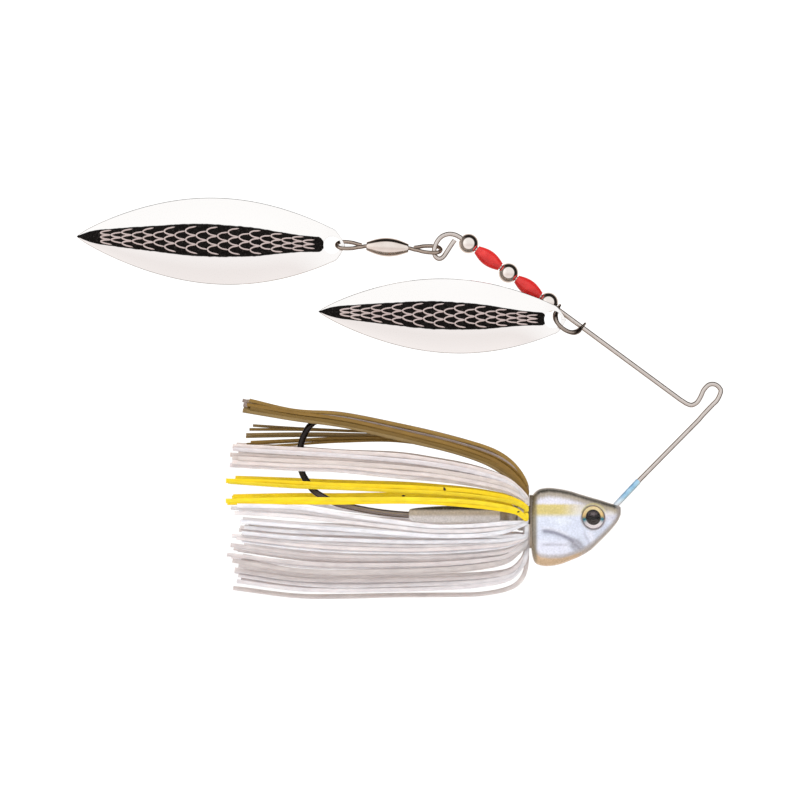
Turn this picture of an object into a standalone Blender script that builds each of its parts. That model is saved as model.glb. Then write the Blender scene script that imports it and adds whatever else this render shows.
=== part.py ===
"""Twin-blade spinnerbait, upright as it runs. Origin at the line tie, +X to the line, +Z up, near side -Y."""
import math
import bmesh
import bpy
import numpy as np
from mathutils import Matrix, Vector

MM = 0.001
# wire form
WIRE_R = 0.51
ARM_DEG = 36.4  # the arm's rise towards the eye loop
ARM_START = (-6.99, -2.28)  # x, z where the arm leaves the line-tie bend
ARM_LEN = 58.7
# beads on the arm: distance along the arm from its start
BEAD_R = 2.1
BEAD_BORE_R = 0.78
BEAD_PITCH = 5.32
BEAD3_S = 35.2
RED_R = 1.65
RED_HALF = 3.0
# clevis
CLEVIS_S = 29.45
CLEVIS_TURN = 52.0
CLEVIS_W = 0.92
CLEVIS_T = 0.5
# blades: length, half width, dish, plate
FRONT_LEN, FRONT_HALF = 52.9, 8.06
REAR_LEN, REAR_HALF = 57.7, 9.4
DISH = 1.35
PLATE = 0.45
FRONT_Y = -2.52
REAR_Y = 0.22
HOLE_R = 1.86
FRONT_HINGE = (-33.62, 14.86)
REAR_HINGE = (-80.8, 30.99)
# swivel
SWIVEL_A = (-58.42, 29.9)
SWIVEL_B = (-80.8, 30.99)
SWIVEL_EYE_R = 0.42
BARREL_R = 2.0
BARREL_HALF = 4.5
# head and hook
AXIS_Z = -27.1  # axis of the keeper and shank
HEAD_HALF_Y = 4.9
COLLAR_R = 2.3
HOOK_R = 0.7
GAP = 0.16

for o in list(bpy.data.objects):
    bpy.data.objects.remove(o, do_unlink=True)
scene = bpy.context.scene
parts = bpy.data.collections.new("spinnerbait")
cutters = bpy.data.collections.new("cutters")
scene.collection.children.link(parts)
scene.collection.children.link(cutters)
cutters.hide_render = True

ARM_A = math.radians(ARM_DEG)
UP = Vector((-math.cos(ARM_A), 0, math.sin(ARM_A)))  # up the arm
OUT = Vector((-math.sin(ARM_A), 0, -math.cos(ARM_A)))  # square to it, downwards
ARM0 = Vector((ARM_START[0], 0, ARM_START[1]))


def on_arm(s):
    return ARM0 + UP * s


def material(name, color, rough, metal, **more):
    m = bpy.data.materials.new(name)
    m.use_nodes = True
    b = m.node_tree.nodes["Principled BSDF"]
    b.inputs["Base Color"].default_value = (*color, 1)
    b.inputs["Roughness"].default_value = rough
    b.inputs["Metallic"].default_value = metal
    for k, v in more.items():
        b.inputs[k].default_value = v
    m.diffuse_color = (*color, 1)
    return m


def finish(obj, name, mat, smooth=True, coll=None, angle=40):
    obj.name = name
    obj.data.name = name
    obj.data.materials.clear()
    if mat:
        obj.data.materials.append(mat)
    for p in obj.data.polygons:
        p.use_smooth = smooth
    for c in list(obj.users_collection):
        c.objects.unlink(obj)
    (coll or parts).objects.link(obj)
    if coll is cutters:
        obj.hide_render = True
        obj.display_type = "WIRE"
    return obj


def set_origin(obj, p_mm):
    """Puts the object's origin on a point without moving its surface."""
    p = Vector(p_mm) * MM
    obj.data.transform(Matrix.Translation(obj.location - p))
    obj.location = p
    return obj


def mesh_obj(name, verts, faces):
    me = bpy.data.meshes.new(name)
    me.from_pydata([tuple(c * MM for c in v) for v in verts], [], faces)
    me.update()
    o = bpy.data.objects.new(name, me)
    scene.collection.objects.link(o)
    bm = bmesh.new()
    bm.from_mesh(me)
    bmesh.ops.recalc_face_normals(bm, faces=bm.faces)
    if bm.calc_volume(signed=True) < 0:
        bmesh.ops.reverse_faces(bm, faces=bm.faces)
    bm.to_mesh(me)
    bm.free()
    return o


def loft(name, rings):
    """A closed skin over rings of equal point counts, with fanned ends."""
    n = len(rings[0])
    verts = [tuple(p) for r in rings for p in r]
    faces = []
    for i in range(len(rings) - 1):
        for j in range(n):
            a, b = i * n + j, i * n + (j + 1) % n
            faces.append((a, b, b + n, a + n))
    for i in (0, len(rings) - 1):
        c = len(verts)
        verts.append(tuple(np.mean([tuple(p) for p in rings[i]], axis=0)))
        faces += [(i * n + j, i * n + (j + 1) % n, c) for j in range(n)]
    return mesh_obj(name, verts, faces)


def turned(name, profile, centre, axis, segs=20):
    """A round piece: profile is (radius, along) from the axis round to the axis, or a closed ring if it has a bore."""
    axis = Vector(axis).normalized()
    q = Vector((0, 0, 1)).rotation_difference(axis)
    ring = profile[0][0] > 1e-6
    verts, faces, n = [], [], len(profile)
    rows = []
    for k in range(segs):
        a = 2 * math.pi * k / segs
        rows.append([q @ Vector((r * math.cos(a), r * math.sin(a), h)) + Vector(centre) for r, h in profile])
    if ring:
        verts = [tuple(p) for row in rows for p in row]
        for k in range(segs):
            for i in range(n):
                a, b = k * n, ((k + 1) % segs) * n
                faces.append((a + i, b + i, b + (i + 1) % n, a + (i + 1) % n))
    else:
        inner = n - 2
        verts = [tuple(rows[0][0]), tuple(rows[0][-1])] + [tuple(p) for row in rows for p in row[1:-1]]
        for k in range(segs):
            a, b = 2 + k * inner, 2 + ((k + 1) % segs) * inner
            faces.append((0, b, a))
            faces.append((1, a + inner - 1, b + inner - 1))
            for i in range(inner - 1):
                faces.append((a + i, b + i, b + i + 1, a + i + 1))
    return mesh_obj(name, verts, faces)


def wire(name, pts, radius, radii=None, res=2):
    """A round wire along points in mm, as a closed mesh."""
    cu = bpy.data.curves.new(name, "CURVE")
    cu.dimensions = "3D"
    cu.bevel_depth = radius * MM
    cu.bevel_resolution = res
    cu.use_fill_caps = True
    sp = cu.splines.new("POLY")
    sp.points.add(len(pts) - 1)
    for i, p in enumerate(pts):
        sp.points[i].co = (*(c * MM for c in p), 1)
        sp.points[i].radius = 1 if radii is None else radii[i]
    o = bpy.data.objects.new(name, cu)
    scene.collection.objects.link(o)
    bpy.context.view_layer.update()
    me = bpy.data.meshes.new_from_object(o.evaluated_get(bpy.context.evaluated_depsgraph_get()))
    new = bpy.data.objects.new(name, me)
    new.matrix_world = o.matrix_world
    scene.collection.objects.link(new)
    bpy.data.objects.remove(o, do_unlink=True)
    bm = bmesh.new()
    bm.from_mesh(me)
    bmesh.ops.remove_doubles(bm, verts=bm.verts, dist=0.000002)
    bmesh.ops.recalc_face_normals(bm, faces=bm.faces)
    if bm.calc_volume(signed=True) < 0:
        bmesh.ops.reverse_faces(bm, faces=bm.faces)
    bm.to_mesh(me)
    bm.free()
    return new


def boolean(obj, tool, op="DIFFERENCE", solver="EXACT"):
    m = obj.modifiers.new(op.lower(), "BOOLEAN")
    m.operation = op
    m.object = tool
    m.solver = solver
    bpy.context.view_layer.update()
    me = bpy.data.meshes.new_from_object(obj.evaluated_get(bpy.context.evaluated_depsgraph_get()))
    old = obj.data
    obj.modifiers.clear()
    obj.data = me
    bpy.data.meshes.remove(old)
    finish(tool, tool.name, None, coll=cutters)
    return obj


def smooth_path(knots, steps):
    """Centripetal-free Catmull-Rom through knots, with the given steps per span."""
    k = [Vector(p) for p in knots]
    k = [k[0] * 2 - k[1]] + k + [k[-1] * 2 - k[-2]]
    out = []
    for i in range(1, len(k) - 2):
        for j in range(steps):
            t = j / steps
            a, b, c, d = k[i - 1 : i + 3]
            out.append(0.5 * ((2 * b) + (c - a) * t + (2 * a - 5 * b + 4 * c - d) * t * t + (3 * b - a - 3 * c + d) * t**3))
    out.append(k[-2])
    return out


STEEL = material("wire_steel", (0.55, 0.53, 0.5), 0.28, 1.0)
SLEEVE = material("sleeve_blue", (0.35, 0.62, 0.82), 0.4, 0.0)
PAINT = material("head_paint", (0.62, 0.64, 0.74), 0.3, 0.1)
HOOK = material("hook_dark", (0.1, 0.09, 0.085), 0.3, 1.0)
IRIS = material("iris_gold", (0.75, 0.5, 0.16), 0.35, 0.3)
LENS = material("lens_clear", (0.9, 0.9, 0.9), 0.05, 0.0)
BAND = material("band_rubber", (0.06, 0.06, 0.06), 0.7, 0.0)
BEADM = material("bead_steel", (0.42, 0.4, 0.38), 0.16, 1.0)
BEADR = material("bead_red", (0.85, 0.04, 0.03), 0.25, 0.0)
CLEV = material("clevis_steel", (0.35, 0.33, 0.31), 0.25, 1.0)
BLADE = material("blade_nickel", (0.86, 0.86, 0.86), 0.08, 1.0)
BRASS = material("swivel_metal", (0.5, 0.47, 0.43), 0.25, 1.0)
OLIVE = material("silicone_olive", (0.25, 0.15, 0.035), 0.42, 0.0)
PEARL = material("silicone_pearl", (0.72, 0.66, 0.64), 0.38, 0.0)
YELLOW = material("silicone_yellow", (0.9, 0.68, 0.02), 0.4, 0.0)
WHITE = material("silicone_white", (0.8, 0.77, 0.78), 0.38, 0.0)

# ---- wire form: inner end, lower leg, line-tie bend, arm, eye loop
knot = lambda x, z, y=0.0: (x, y, z)
RING = (-27.0, -28.0)  # centre of the hook's own eye, inside the head
inner = smooth_path(
    [knot(RING[0], RING[1], -1.3), knot(RING[0], RING[1], 0.3), knot(RING[0] + 0.25, RING[1] + 0.1, 1.25),
     knot(RING[0] + 1.7, RING[1] + 0.45, 1.55), knot(-23.4, -26.9, 0.75), knot(-21.6, -25.75, 0.1)], 4)
leg = [knot(-20.32, -24.5), knot(-15.6, -19.5), knot(-2.95, -6.67)]
tie = smooth_path(
    [knot(-2.04, -5.59), knot(-1.03, -4.52), knot(0.0, -3.44), knot(1.03, -2.37), knot(1.78, -0.65), knot(1.5, 0.22),
     knot(0.75, 0.86), knot(-0.11, 1.03), knot(-0.97, 0.75), knot(-1.87, -0.22), knot(-2.37, -1.29), knot(-2.8, -2.15),
     knot(-3.44, -3.01), knot(-4.52, -3.5), knot(-5.6, -3.18)], 2)
loop_base = ARM0 + UP * ARM_LEN
loop = smooth_path(
    [tuple(loop_base), knot(-55.35, 33.12), knot(-56.7, 33.3), knot(-58.1, 32.85), knot(-59.1, 31.85), knot(-59.68, 30.6),
     knot(-59.85, 29.5), knot(-59.55, 28.45), knot(-58.75, 27.98), knot(-57.9, 28.4), knot(-57.1, 29.5), knot(-56.3, 30.75), knot(-55.72, 31.5)], 2)
WIRE_PTS = inner[:-1] + [Vector(inner[-1])] + leg + tie + [tuple(ARM0), tuple(ARM0 + UP * 20)] + loop
w = finish(wire("wire_form", [tuple(p) for p in WIRE_PTS], WIRE_R), "wire_form", STEEL)

# ---- blue sleeve on the leg, just above the nose
leg_dir = Vector((-15.6 + 20.32, 0, -19.5 + 24.5)).normalized()
sleeve_mid = Vector((-17.75, 0, -21.78))
s = turned("nose_sleeve", [(WIRE_R + 0.1, -2.75), (0.78, -2.75), (0.82, -2.5), (0.82, 2.4), (0.74, 2.75), (WIRE_R + 0.1, 2.75)], sleeve_mid, leg_dir, 16)
finish(s, "nose_sleeve", SLEEVE)

# ---- head: sections along X, (x, top, bottom, half width in Y)
HEAD = [(-39.05, -25.2, -29.9, 2.55), (-38.95, -24.0, -34.2, 3.5), (-38.4, -22.55, -37.0, 4.15), (-37.2, -21.6, -37.9, 4.6), (-35.2, -21.3, -38.1, 4.85),
        (-32.8, -21.55, -37.7, 4.9), (-30.6, -22.0, -36.9, 4.8), (-28.5, -22.65, -36.0, 4.6), (-26.35, -23.3, -34.7, 4.2),
        (-24.2, -23.9, -32.7, 3.6), (-22.05, -24.6, -30.5, 2.75), (-20.5, -25.0, -28.6, 1.75), (-19.8, -25.4, -27.2, 0.85)]


def head_ring(x, top, bottom, half, n=22):
    c, h = (top + bottom) / 2, (top - bottom) / 2
    ring = []
    for k in range(n):
        a = 2 * math.pi * k / n
        e = 0.88
        ca, sa = math.cos(a), math.sin(a)
        ring.append((x, half * math.copysign(abs(sa) ** e, sa), c + h * math.copysign(abs(ca) ** e, ca)))
    return ring


head = loft("head_casting", [head_ring(*h) for h in HEAD])
# collar under the skirt band, neck and the spindle keeper, turned as one about the shank axis
KEEP = [(0, 1.9), (2.0, 1.9), (COLLAR_R, 1.2), (COLLAR_R, 0.5), (2.0, 0.2), (2.0, -2.6), (COLLAR_R, -2.8), (COLLAR_R, -3.1), (1.75, -3.4), (1.2, -3.7), (1.2, -6.0),
        (1.35, -6.3), (1.62, -9.5), (1.9, -14.0), (1.94, -17.5), (1.7, -21.8), (1.42, -24.6), (1.1, -25.6), (0, -25.65)]
keeper = turned("keeper", [(r, h) for r, h in KEEP], (-39.6, 0, AXIS_Z), (1, 0, 0), 18)
boolean(head, keeper, "UNION")

# hook: its eye inside the head, then shank, bend and point
HX = lambda px, pz: (px, 0.0, pz)
eye_pts = []
for k in range(15):
    a = math.radians(158 - k * 21.5)
    eye_pts.append((RING[0] + 1.62 * math.cos(a), 0.0, RING[1] + 1.62 * math.sin(a)))
eye_pts = eye_pts[:15]
shank = smooth_path([HX(-28.95, -27.35), HX(-30.4, -27.05), HX(-34.0, AXIS_Z)], 3)
bend = smooth_path(
    [HX(-62.0, AXIS_Z), HX(-65.3, AXIS_Z), HX(-69.35, -26.78), HX(-73.65, -26.2), HX(-77.95, -25.35), HX(-81.2, -24.5),
     HX(-83.35, -23.45), HX(-85.7, -21.95), HX(-87.0, -20.2), HX(-88.05, -18.5), HX(-88.7, -16.35), HX(-88.7, -14.2),
     HX(-88.5, -12.05), HX(-87.85, -10.1), HX(-86.75, -8.15), HX(-85.25, -7.08), HX(-82.8, -6.6), HX(-79.6, -6.55), HX(-76.7, -6.5)], 2)
back = list(reversed(eye_pts))
HOOK_PTS = [Vector(p) for p in back[:-1]] + [Vector(p) for p in shank] + [Vector(p) for p in bend]
n_pt = len(HOOK_PTS)
radii = [1.0] * n_pt
for i in range(6):
    radii[n_pt - 1 - i] = [0.1, 0.34, 0.58, 0.78, 0.92, 1.0][i]
hook = finish(wire("hook", [tuple(p) for p in HOOK_PTS], HOOK_R, radii), "hook", HOOK)

# room for the hook and the wire in the casting
ahead = HOOK_PTS[0] + (HOOK_PTS[0] - HOOK_PTS[1]).normalized() * 0.3
cut_hook = wire("cut_hook", [tuple(ahead)] + [tuple(p) for p in HOOK_PTS[: len(back) - 1 + len(shank)]] + [(-66.5, 0, AXIS_Z)], HOOK_R + GAP)
boolean(head, cut_hook)
cut_wire = wire("cut_wire", [tuple(Vector(inner[0]) + Vector((0, -0.35, 0)))] + [tuple(p) for p in inner] + [knot(-20.32, -24.5), knot(-17.0, -20.98)], WIRE_R + GAP)
boolean(head, cut_wire)
# seats for the eyes
EYE_C = (-25.95, -27.4)


def half_at(x, z):
    """The head's half width at x and z."""
    i = max(k for k in range(len(HEAD) - 1) if HEAD[k][0] <= x)
    a, b = HEAD[i], HEAD[i + 1]
    t = (x - a[0]) / (b[0] - a[0])
    top, bottom, half = (a[j] + t * (b[j] - a[j]) for j in (1, 2, 3))
    c, h = (top + bottom) / 2, (top - bottom) / 2
    u = min(1, abs((z - c) / h)) ** (1 / 0.88)
    return half * (1 - u * u) ** (0.44)


EYE_Y = half_at(*EYE_C)
dx = (half_at(EYE_C[0] + 1, EYE_C[1]) - half_at(EYE_C[0] - 1, EYE_C[1])) / 2
dz = (half_at(EYE_C[0], EYE_C[1] + 1) - half_at(EYE_C[0], EYE_C[1] - 1)) / 2
for side, sy in (("left", 1), ("right", -1)):
    nrm = Vector((-dx, sy, -dz)).normalized()
    c = Vector((EYE_C[0], sy * EYE_Y, EYE_C[1]))
    seat = turned("cut_eye_" + side, [(0, -0.75), (2.72, -0.75), (2.72, 2.0), (0, 2.0)], c, nrm, 24)
    boolean(head, seat)
    iris = turned("eye_iris_" + side, [(0, -0.6), (2.4, -0.6), (2.5, -0.5), (2.5, -0.3), (2.4, -0.2), (0, -0.2)], c, nrm, 24)
    finish(iris, "eye_iris_" + side, IRIS)
    lens = turned("eye_lens_" + side, [(0, -0.1), (2.45, -0.1), (2.5, 0.05), (2.05, 0.42), (1.2, 0.66), (0, 0.76)], c, nrm, 24)
    finish(lens, "eye_lens_" + side, LENS)
finish(head, "head_casting", PAINT)

# ---- skirt band round the collar
band = turned("skirt_band", [(2.42, -0.95), (3.2, -0.95), (3.4, -0.6), (3.4, 0.6), (3.2, 0.95), (2.42, 0.95)], (-41.0, 0, AXIS_Z), (1, 0, 0), 24)
finish(band, "skirt_band", BAND)

# ---- skirt bundles: each leaves the band radially, folds back and trails to its own end
Y_WIDE = 10.5


def bundle(name, mat, side, root_deg, pts, y_mid, y_end, thick):
    """pts: (x, top z, bottom z) from the fold back to the end; side -1 near, 1 far, 0 middle."""
    a = math.radians(root_deg)
    r0 = Vector((-40.35, math.sin(a) * 3.95 * (side or 1), AXIS_Z + math.cos(a) * 3.95))
    spine = [(r0.x, r0.y, r0.z, 0.32, 0.32)]
    n = len(pts)
    for i, (x, top, bot) in enumerate(pts):
        t = min(1.0, (-42.0 - x) / 22.0) if x < -42 else 0.0
        e = max(0.0, (-64.0 - x) / 41.0)
        y = side * (abs(r0.y) + (y_mid - abs(r0.y)) * math.sin(t * math.pi / 2) + (y_end - y_mid) * e)
        grow = 0.45 + 0.55 * min(1.0, (-40.2 - x) / 9.0)
        spine.append((x, y, (top + bot) / 2, (top - bot) / 2, thick * grow))
    knots = [Vector(p[:3]) for p in spine]
    rings, m = [], 8
    for i, p in enumerate(knots):
        t = (knots[min(i + 1, len(knots) - 1)] - knots[max(i - 1, 0)])
        t = Vector((t.x, 0, t.z)).normalized()
        if i == 0:
            t = Vector((0.0, 0, math.copysign(1, knots[1].z - AXIS_Z)))
            nrm = Vector((1, 0, 0))
        else:
            nrm = Vector((-t.z, 0, t.x)) if t.x < 0 else Vector((t.z, 0, -t.x))
            if nrm.z > 0:
                nrm = -nrm
        lean = abs(t.x) if i else 1
        h = spine[i][3] * (max(lean, 0.35) if i else 1)
        ring = []
        for k in range(m):
            b = 2 * math.pi * (k + 0.5) / m
            ring.append(p + nrm * (math.cos(b) * h * 1.04) + Vector((0, math.sin(b) * spine[i][4] * 1.04, 0)))
        rings.append(ring)
    o = loft(name, rings)
    return finish(o, name, mat)


for side, tag in ((-1, "near"), (1, "far")):
    low = side > 0
    bundle("skirt_crest_" + tag, OLIVE, side, 11,
           [(-40.0, -20.6, -22.2), (-41.6, -17.4, -19.2), (-44.6, -14.4, -16.6), (-49.0, -12.2, -14.4), (-57.0, -9.9, -12.0), (-68.0, -7.4, -9.6),
            (-80.0, -5.0, -7.2), (-90.0, -4.4, -6.5), (-101.0, -2.2, -4.3)], 2.4, 2.4, 1.15)
    bundle("skirt_olive_" + tag, OLIVE, side, 30,
           [(-40.1, -21.9, -23.2), (-41.9, -19.4, -20.9), (-45.2, -16.9, -18.5), (-49.5, -14.75, -16.2), (-57.0, -12.3, -13.6), (-68.0, -9.9, -11.7),
            (-80.0, -8.9, -11.6), (-90.0, -8.2, -12.1), (-100.5, -7.7, -12.9)] if low else
           [(-40.1, -21.9, -23.2), (-41.9, -19.4, -20.9), (-45.2, -16.9, -18.5), (-49.5, -14.75, -16.2), (-57.0, -12.3, -13.6), (-68.0, -9.3, -10.9),
            (-79.0, -6.7, -8.2), (-90.0, -5.0, -6.5), (-100.6, -3.3, -4.8)], 5.0, 5.4, 1.0)
    bundle("skirt_pearl_" + tag, PEARL, side, 50,
           [(-40.2, -23.0, -24.4), (-42.0, -20.9, -23.3), (-45.2, -18.6, -22.0), (-52.0, -16.3, -20.6), (-60.0, -14.8, -19.4), (-68.0, -13.7, -18.7),
            (-80.0, -13.1, -17.4), (-90.0, -12.4, -17.0), (-103.0, -11.9, -16.2)], 8.3, 8.0, 0.85)
    bundle("skirt_yellow_upper_" + tag, YELLOW, side, 70,
           [(-40.3, -24.9, -25.9), (-42.2, -23.7, -24.9), (-45.6, -22.7, -24.1), (-52.0, -21.5, -23.2), (-60.0, -20.9, -22.4), (-68.0, -20.4, -22.1),
            (-80.0, -20.0, -21.6), (-90.0, -19.6, -21.1), (-104.0, -19.1, -20.2)], 9.6, 9.2, 0.6)
    bundle("skirt_yellow_lower_" + tag, YELLOW, side, 88,
           [(-40.4, -27.2, -28.0), (-42.3, -25.6, -26.6), (-45.8, -24.7, -25.8), (-52.0, -23.7, -24.9), (-60.0, -23.1, -24.2), (-68.0, -22.9, -24.0),
            (-80.0, -22.9, -24.1), (-90.0, -23.0, -24.1), (-104.0, -23.3, -24.2)], 10.0, 9.6, 0.6)
    bundle("skirt_side_" + tag, WHITE, side, 104,
           [(-40.4, -28.2, -28.9), (-42.3, -28.2, -29.4), (-45.8, -28.1, -30.1), (-52.0, -28.3, -30.6), (-60.0, -28.3, -30.5), (-68.0, -27.6, -30.2),
            (-80.0, -26.3, -29.6), (-90.0, -25.0, -29.2), (-103.0, -24.7, -28.2)], 10.4, 10.0, 0.65)
    bundle("skirt_flank_" + tag, WHITE, side, 125,
           [(-40.3, -31.0, -31.9), (-42.2, -31.3, -33.0), (-45.6, -31.55, -33.8), (-52.0, -31.1, -34.4), (-60.0, -31.0, -34.8), (-68.0, -30.7, -34.9),
            (-80.0, -30.3, -34.5), (-90.0, -29.9, -33.8), (-103.0, -29.0, -32.3)], 9.7, 9.4, 0.75)
    bundle("skirt_lower_" + tag, WHITE, side, 144,
           [(-40.2, -32.3, -33.4), (-41.9, -33.3, -35.4), (-45.0, -34.5, -37.6), (-52.0, -35.0, -38.9), (-60.0, -35.2, -39.4), (-68.0, -35.3, -39.6),
            (-80.0, -35.2, -39.8), (-90.0, -34.4, -39.3), (-104.0, -32.8, -37.3)], 7.9, 7.6, 0.95)
    bundle("skirt_belly_" + tag, WHITE, side, 160,
           [(-40.0, -34.0, -35.3), (-41.3, -36.9, -38.7), (-44.4, -38.9, -41.4), (-52.0, -39.7, -42.6), (-60.0, -39.9, -43.1), (-68.0, -40.0, -43.4),
            (-80.0, -40.2, -43.6), (-90.0, -39.8, -43.1), (-103.0, -37.9, -41.6)], 4.7, 4.7, 1.15)
bundle("skirt_keel", WHITE, 0, 180,
       [(-39.9, -36.0, -37.2), (-40.9, -40.2, -41.0), (-43.8, -42.6, -43.3), (-50.0, -43.7, -44.5), (-58.0, -43.8, -44.8), (-68.0, -43.9, -44.8),
        (-80.0, -44.2, -45.1), (-90.0, -44.0, -44.8), (-103.0, -42.5, -43.1)], 0, 0, 1.6)

# ---- beads
for i in range(3):
    s = BEAD3_S + i * 2 * BEAD_PITCH
    prof = []
    a0 = math.asin(BEAD_BORE_R / BEAD_R)
    for k in range(8):
        a = a0 + (math.pi - 2 * a0) * k / 7
        prof.append((BEAD_R * math.sin(a), -BEAD_R * math.cos(a)))
    b = turned(f"bead_metal_{3 - i}", prof, on_arm(s), UP, 20)
    finish(b, f"bead_metal_{3 - i}", BEADM)
    set_origin(b, on_arm(s))
for i in range(2):
    s = BEAD3_S + (2 * i + 1) * BEAD_PITCH
    prof = []
    for k in range(7):
        h = -RED_HALF + 2 * RED_HALF * k / 6
        prof.append((0.98 + (RED_R - 0.98) * math.cos(h / RED_HALF * math.pi / 2) ** 0.8, h))
    prof += [(BEAD_BORE_R, RED_HALF), (BEAD_BORE_R, -RED_HALF)]
    b = turned(f"bead_red_{2 - i}", prof, on_arm(s), UP, 18)
    finish(b, f"bead_red_{2 - i}", BEADR)
    set_origin(b, on_arm(s))

# ---- clevis: a flat strip bent to a stirrup, with an ear square to the wire at each end
C0 = on_arm(CLEVIS_S)
T = math.radians(CLEVIS_TURN)
SDIR = -UP
RHO = OUT * math.cos(T) + Vector((0, -math.sin(T), 0))
BIN = SDIR.cross(RHO).normalized()
U = smooth_path([(-3.42, -1.35, 0), (-3.3, -0.4, 0), (-3.2, 0.7, 0), (-2.95, 2.3, 0), (-2.3, 3.62, 0), (-1.3, 4.45, 0), (0, 4.74, 0),
                 (1.3, 4.45, 0), (2.3, 3.62, 0), (2.95, 2.3, 0), (3.2, 0.7, 0), (3.3, -0.4, 0), (3.42, -1.35, 0)], 2)
rings = []
for i, p in enumerate(U):
    d = (U[min(i + 1, len(U) - 1)] - U[max(i - 1, 0)]).normalized()
    nrm = Vector((-d.y, d.x, 0))
    ear = max(0.0, min(1.0, (2.0 - p.y) / 2.2))
    half_w = (CLEVIS_W / 2) * (1 - ear) + 1.15 * ear
    half_t = (CLEVIS_W / 2) * (1 - ear) + (CLEVIS_T / 2) * ear
    if i in (0, len(U) - 1):
        half_w = 0.62
    ring = []
    for k in range(8):
        b = 2 * math.pi * (k + 0.5) / 8
        q = p + nrm * (half_t * math.cos(b) * 1.06)
        ring.append(C0 + SDIR * q.x + RHO * q.y + BIN * (half_w * math.sin(b) * 1.06))
    rings.append(ring)
clevis = loft("clevis", rings)
bore = turned("cut_clevis", [(0, -6), (WIRE_R + 0.14, -6), (WIRE_R + 0.14, 6), (0, 6)], C0, UP, 14)
boolean(clevis, bore)
finish(clevis, "clevis", CLEV)
set_origin(clevis, C0)


# ---- willow blades: a dished plate, narrow at both ends
def willow(t):
    """Half width as a fraction, from the root end to the tip."""
    grow = math.sin(math.pi * min(1, max(0, t * 0.952 + 0.048)) ** 0.985) ** 0.80
    return grow * (1 - 0.02 * t)


def blade(name, length, half, root, tilt_deg, y0, hole_x, hinge):
    """root: x, z of the round end; the tip lies towards -X."""
    nu, nv = 18, 8
    ca, sa = math.cos(math.radians(tilt_deg)), math.sin(math.radians(tilt_deg))
    verts, top = [], []
    for layer in (0, 1):
        for i in range(nu + 1):
            u = 0.5 - 0.5 * math.cos(math.pi * i / nu)
            w_ = max(0.10, willow(u) * half)
            if i == 0:
                w_ = half * 0.16
            for j in range(nv + 1):
                v = -1 + 2 * j / nv
                ease = min(1.0, max(0.0, (u - 0.045) / 0.2))
                bow = DISH * (1 - v * v) * ease * ease * (3 - 2 * ease) * (w_ / half) ** 0.8
                x, z = -u * length, v * w_
                verts.append((root[0] + x * ca - z * sa, y0 - bow - layer * PLATE, root[1] - x * sa + z * ca))
    n = (nu + 1) * (nv + 1)
    ix = lambda i, j, l=0: l * n + i * (nv + 1) + j
    faces = []
    for i in range(nu):
        for j in range(nv):
            faces.append((ix(i, j), ix(i + 1, j), ix(i + 1, j + 1), ix(i, j + 1)))
            faces.append((ix(i, j, 1), ix(i, j + 1, 1), ix(i + 1, j + 1, 1), ix(i + 1, j, 1)))
    edge = [(i, 0) for i in range(nu)] + [(nu, j) for j in range(nv)] + [(i, nv) for i in range(nu, 0, -1)] + [(0, j) for j in range(nv, 0, -1)]
    for k in range(len(edge)):
        a, b = edge[k], edge[(k + 1) % len(edge)]
        faces.append((ix(*a), ix(*b), ix(*b, 1), ix(*a, 1)))
    o = mesh_obj(name, verts, faces)
    hc = (root[0] - hole_x * ca, y0, root[1] + hole_x * sa)
    cut = turned("cut_" + name, [(0, -4), (HOLE_R, -4), (HOLE_R, 4), (0, 4)], hc, (0, 1, 0), 18)
    boolean(o, cut)
    finish(o, name, BLADE)
    return set_origin(o, (hinge[0], y0, hinge[1]))


blade("front_blade", FRONT_LEN, FRONT_HALF, (-31.72, 14.75), 1.9, FRONT_Y, 2.8, FRONT_HINGE)
blade("rear_blade", REAR_LEN, REAR_HALF, (-79.0, 30.85), 1.9, REAR_Y, 2.8, REAR_HINGE)

# ---- barrel swivel
A = Vector((SWIVEL_A[0], 0, SWIVEL_A[1]))
B = Vector((SWIVEL_B[0], 0, SWIVEL_B[1]))
AX = (B - A).normalized()  # towards the rear
MID = Vector((-69.9, 0, A.z + (-69.9 - A.x) * AX.z / AX.x))
prof = [(SWIVEL_EYE_R + 0.14, -4.5), (0.95, -4.5), (1.1, -4.2), (1.25, -3.4), (1.75, -2.4), (2.0, -1.2), (2.0, 1.2), (1.75, 2.4), (1.25, 3.4), (1.1, 4.2),
        (0.95, 4.5), (SWIVEL_EYE_R + 0.14, 4.5), (SWIVEL_EYE_R + 0.14, 3.6), (1.0, 3.0), (1.25, 2.2), (1.25, -2.2), (1.0, -3.0), (SWIVEL_EYE_R + 0.14, -3.6)]
barrel = turned("swivel_barrel", prof, MID, AX, 18)
finish(barrel, "swivel_barrel", BRASS)
set_origin(barrel, MID)


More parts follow.
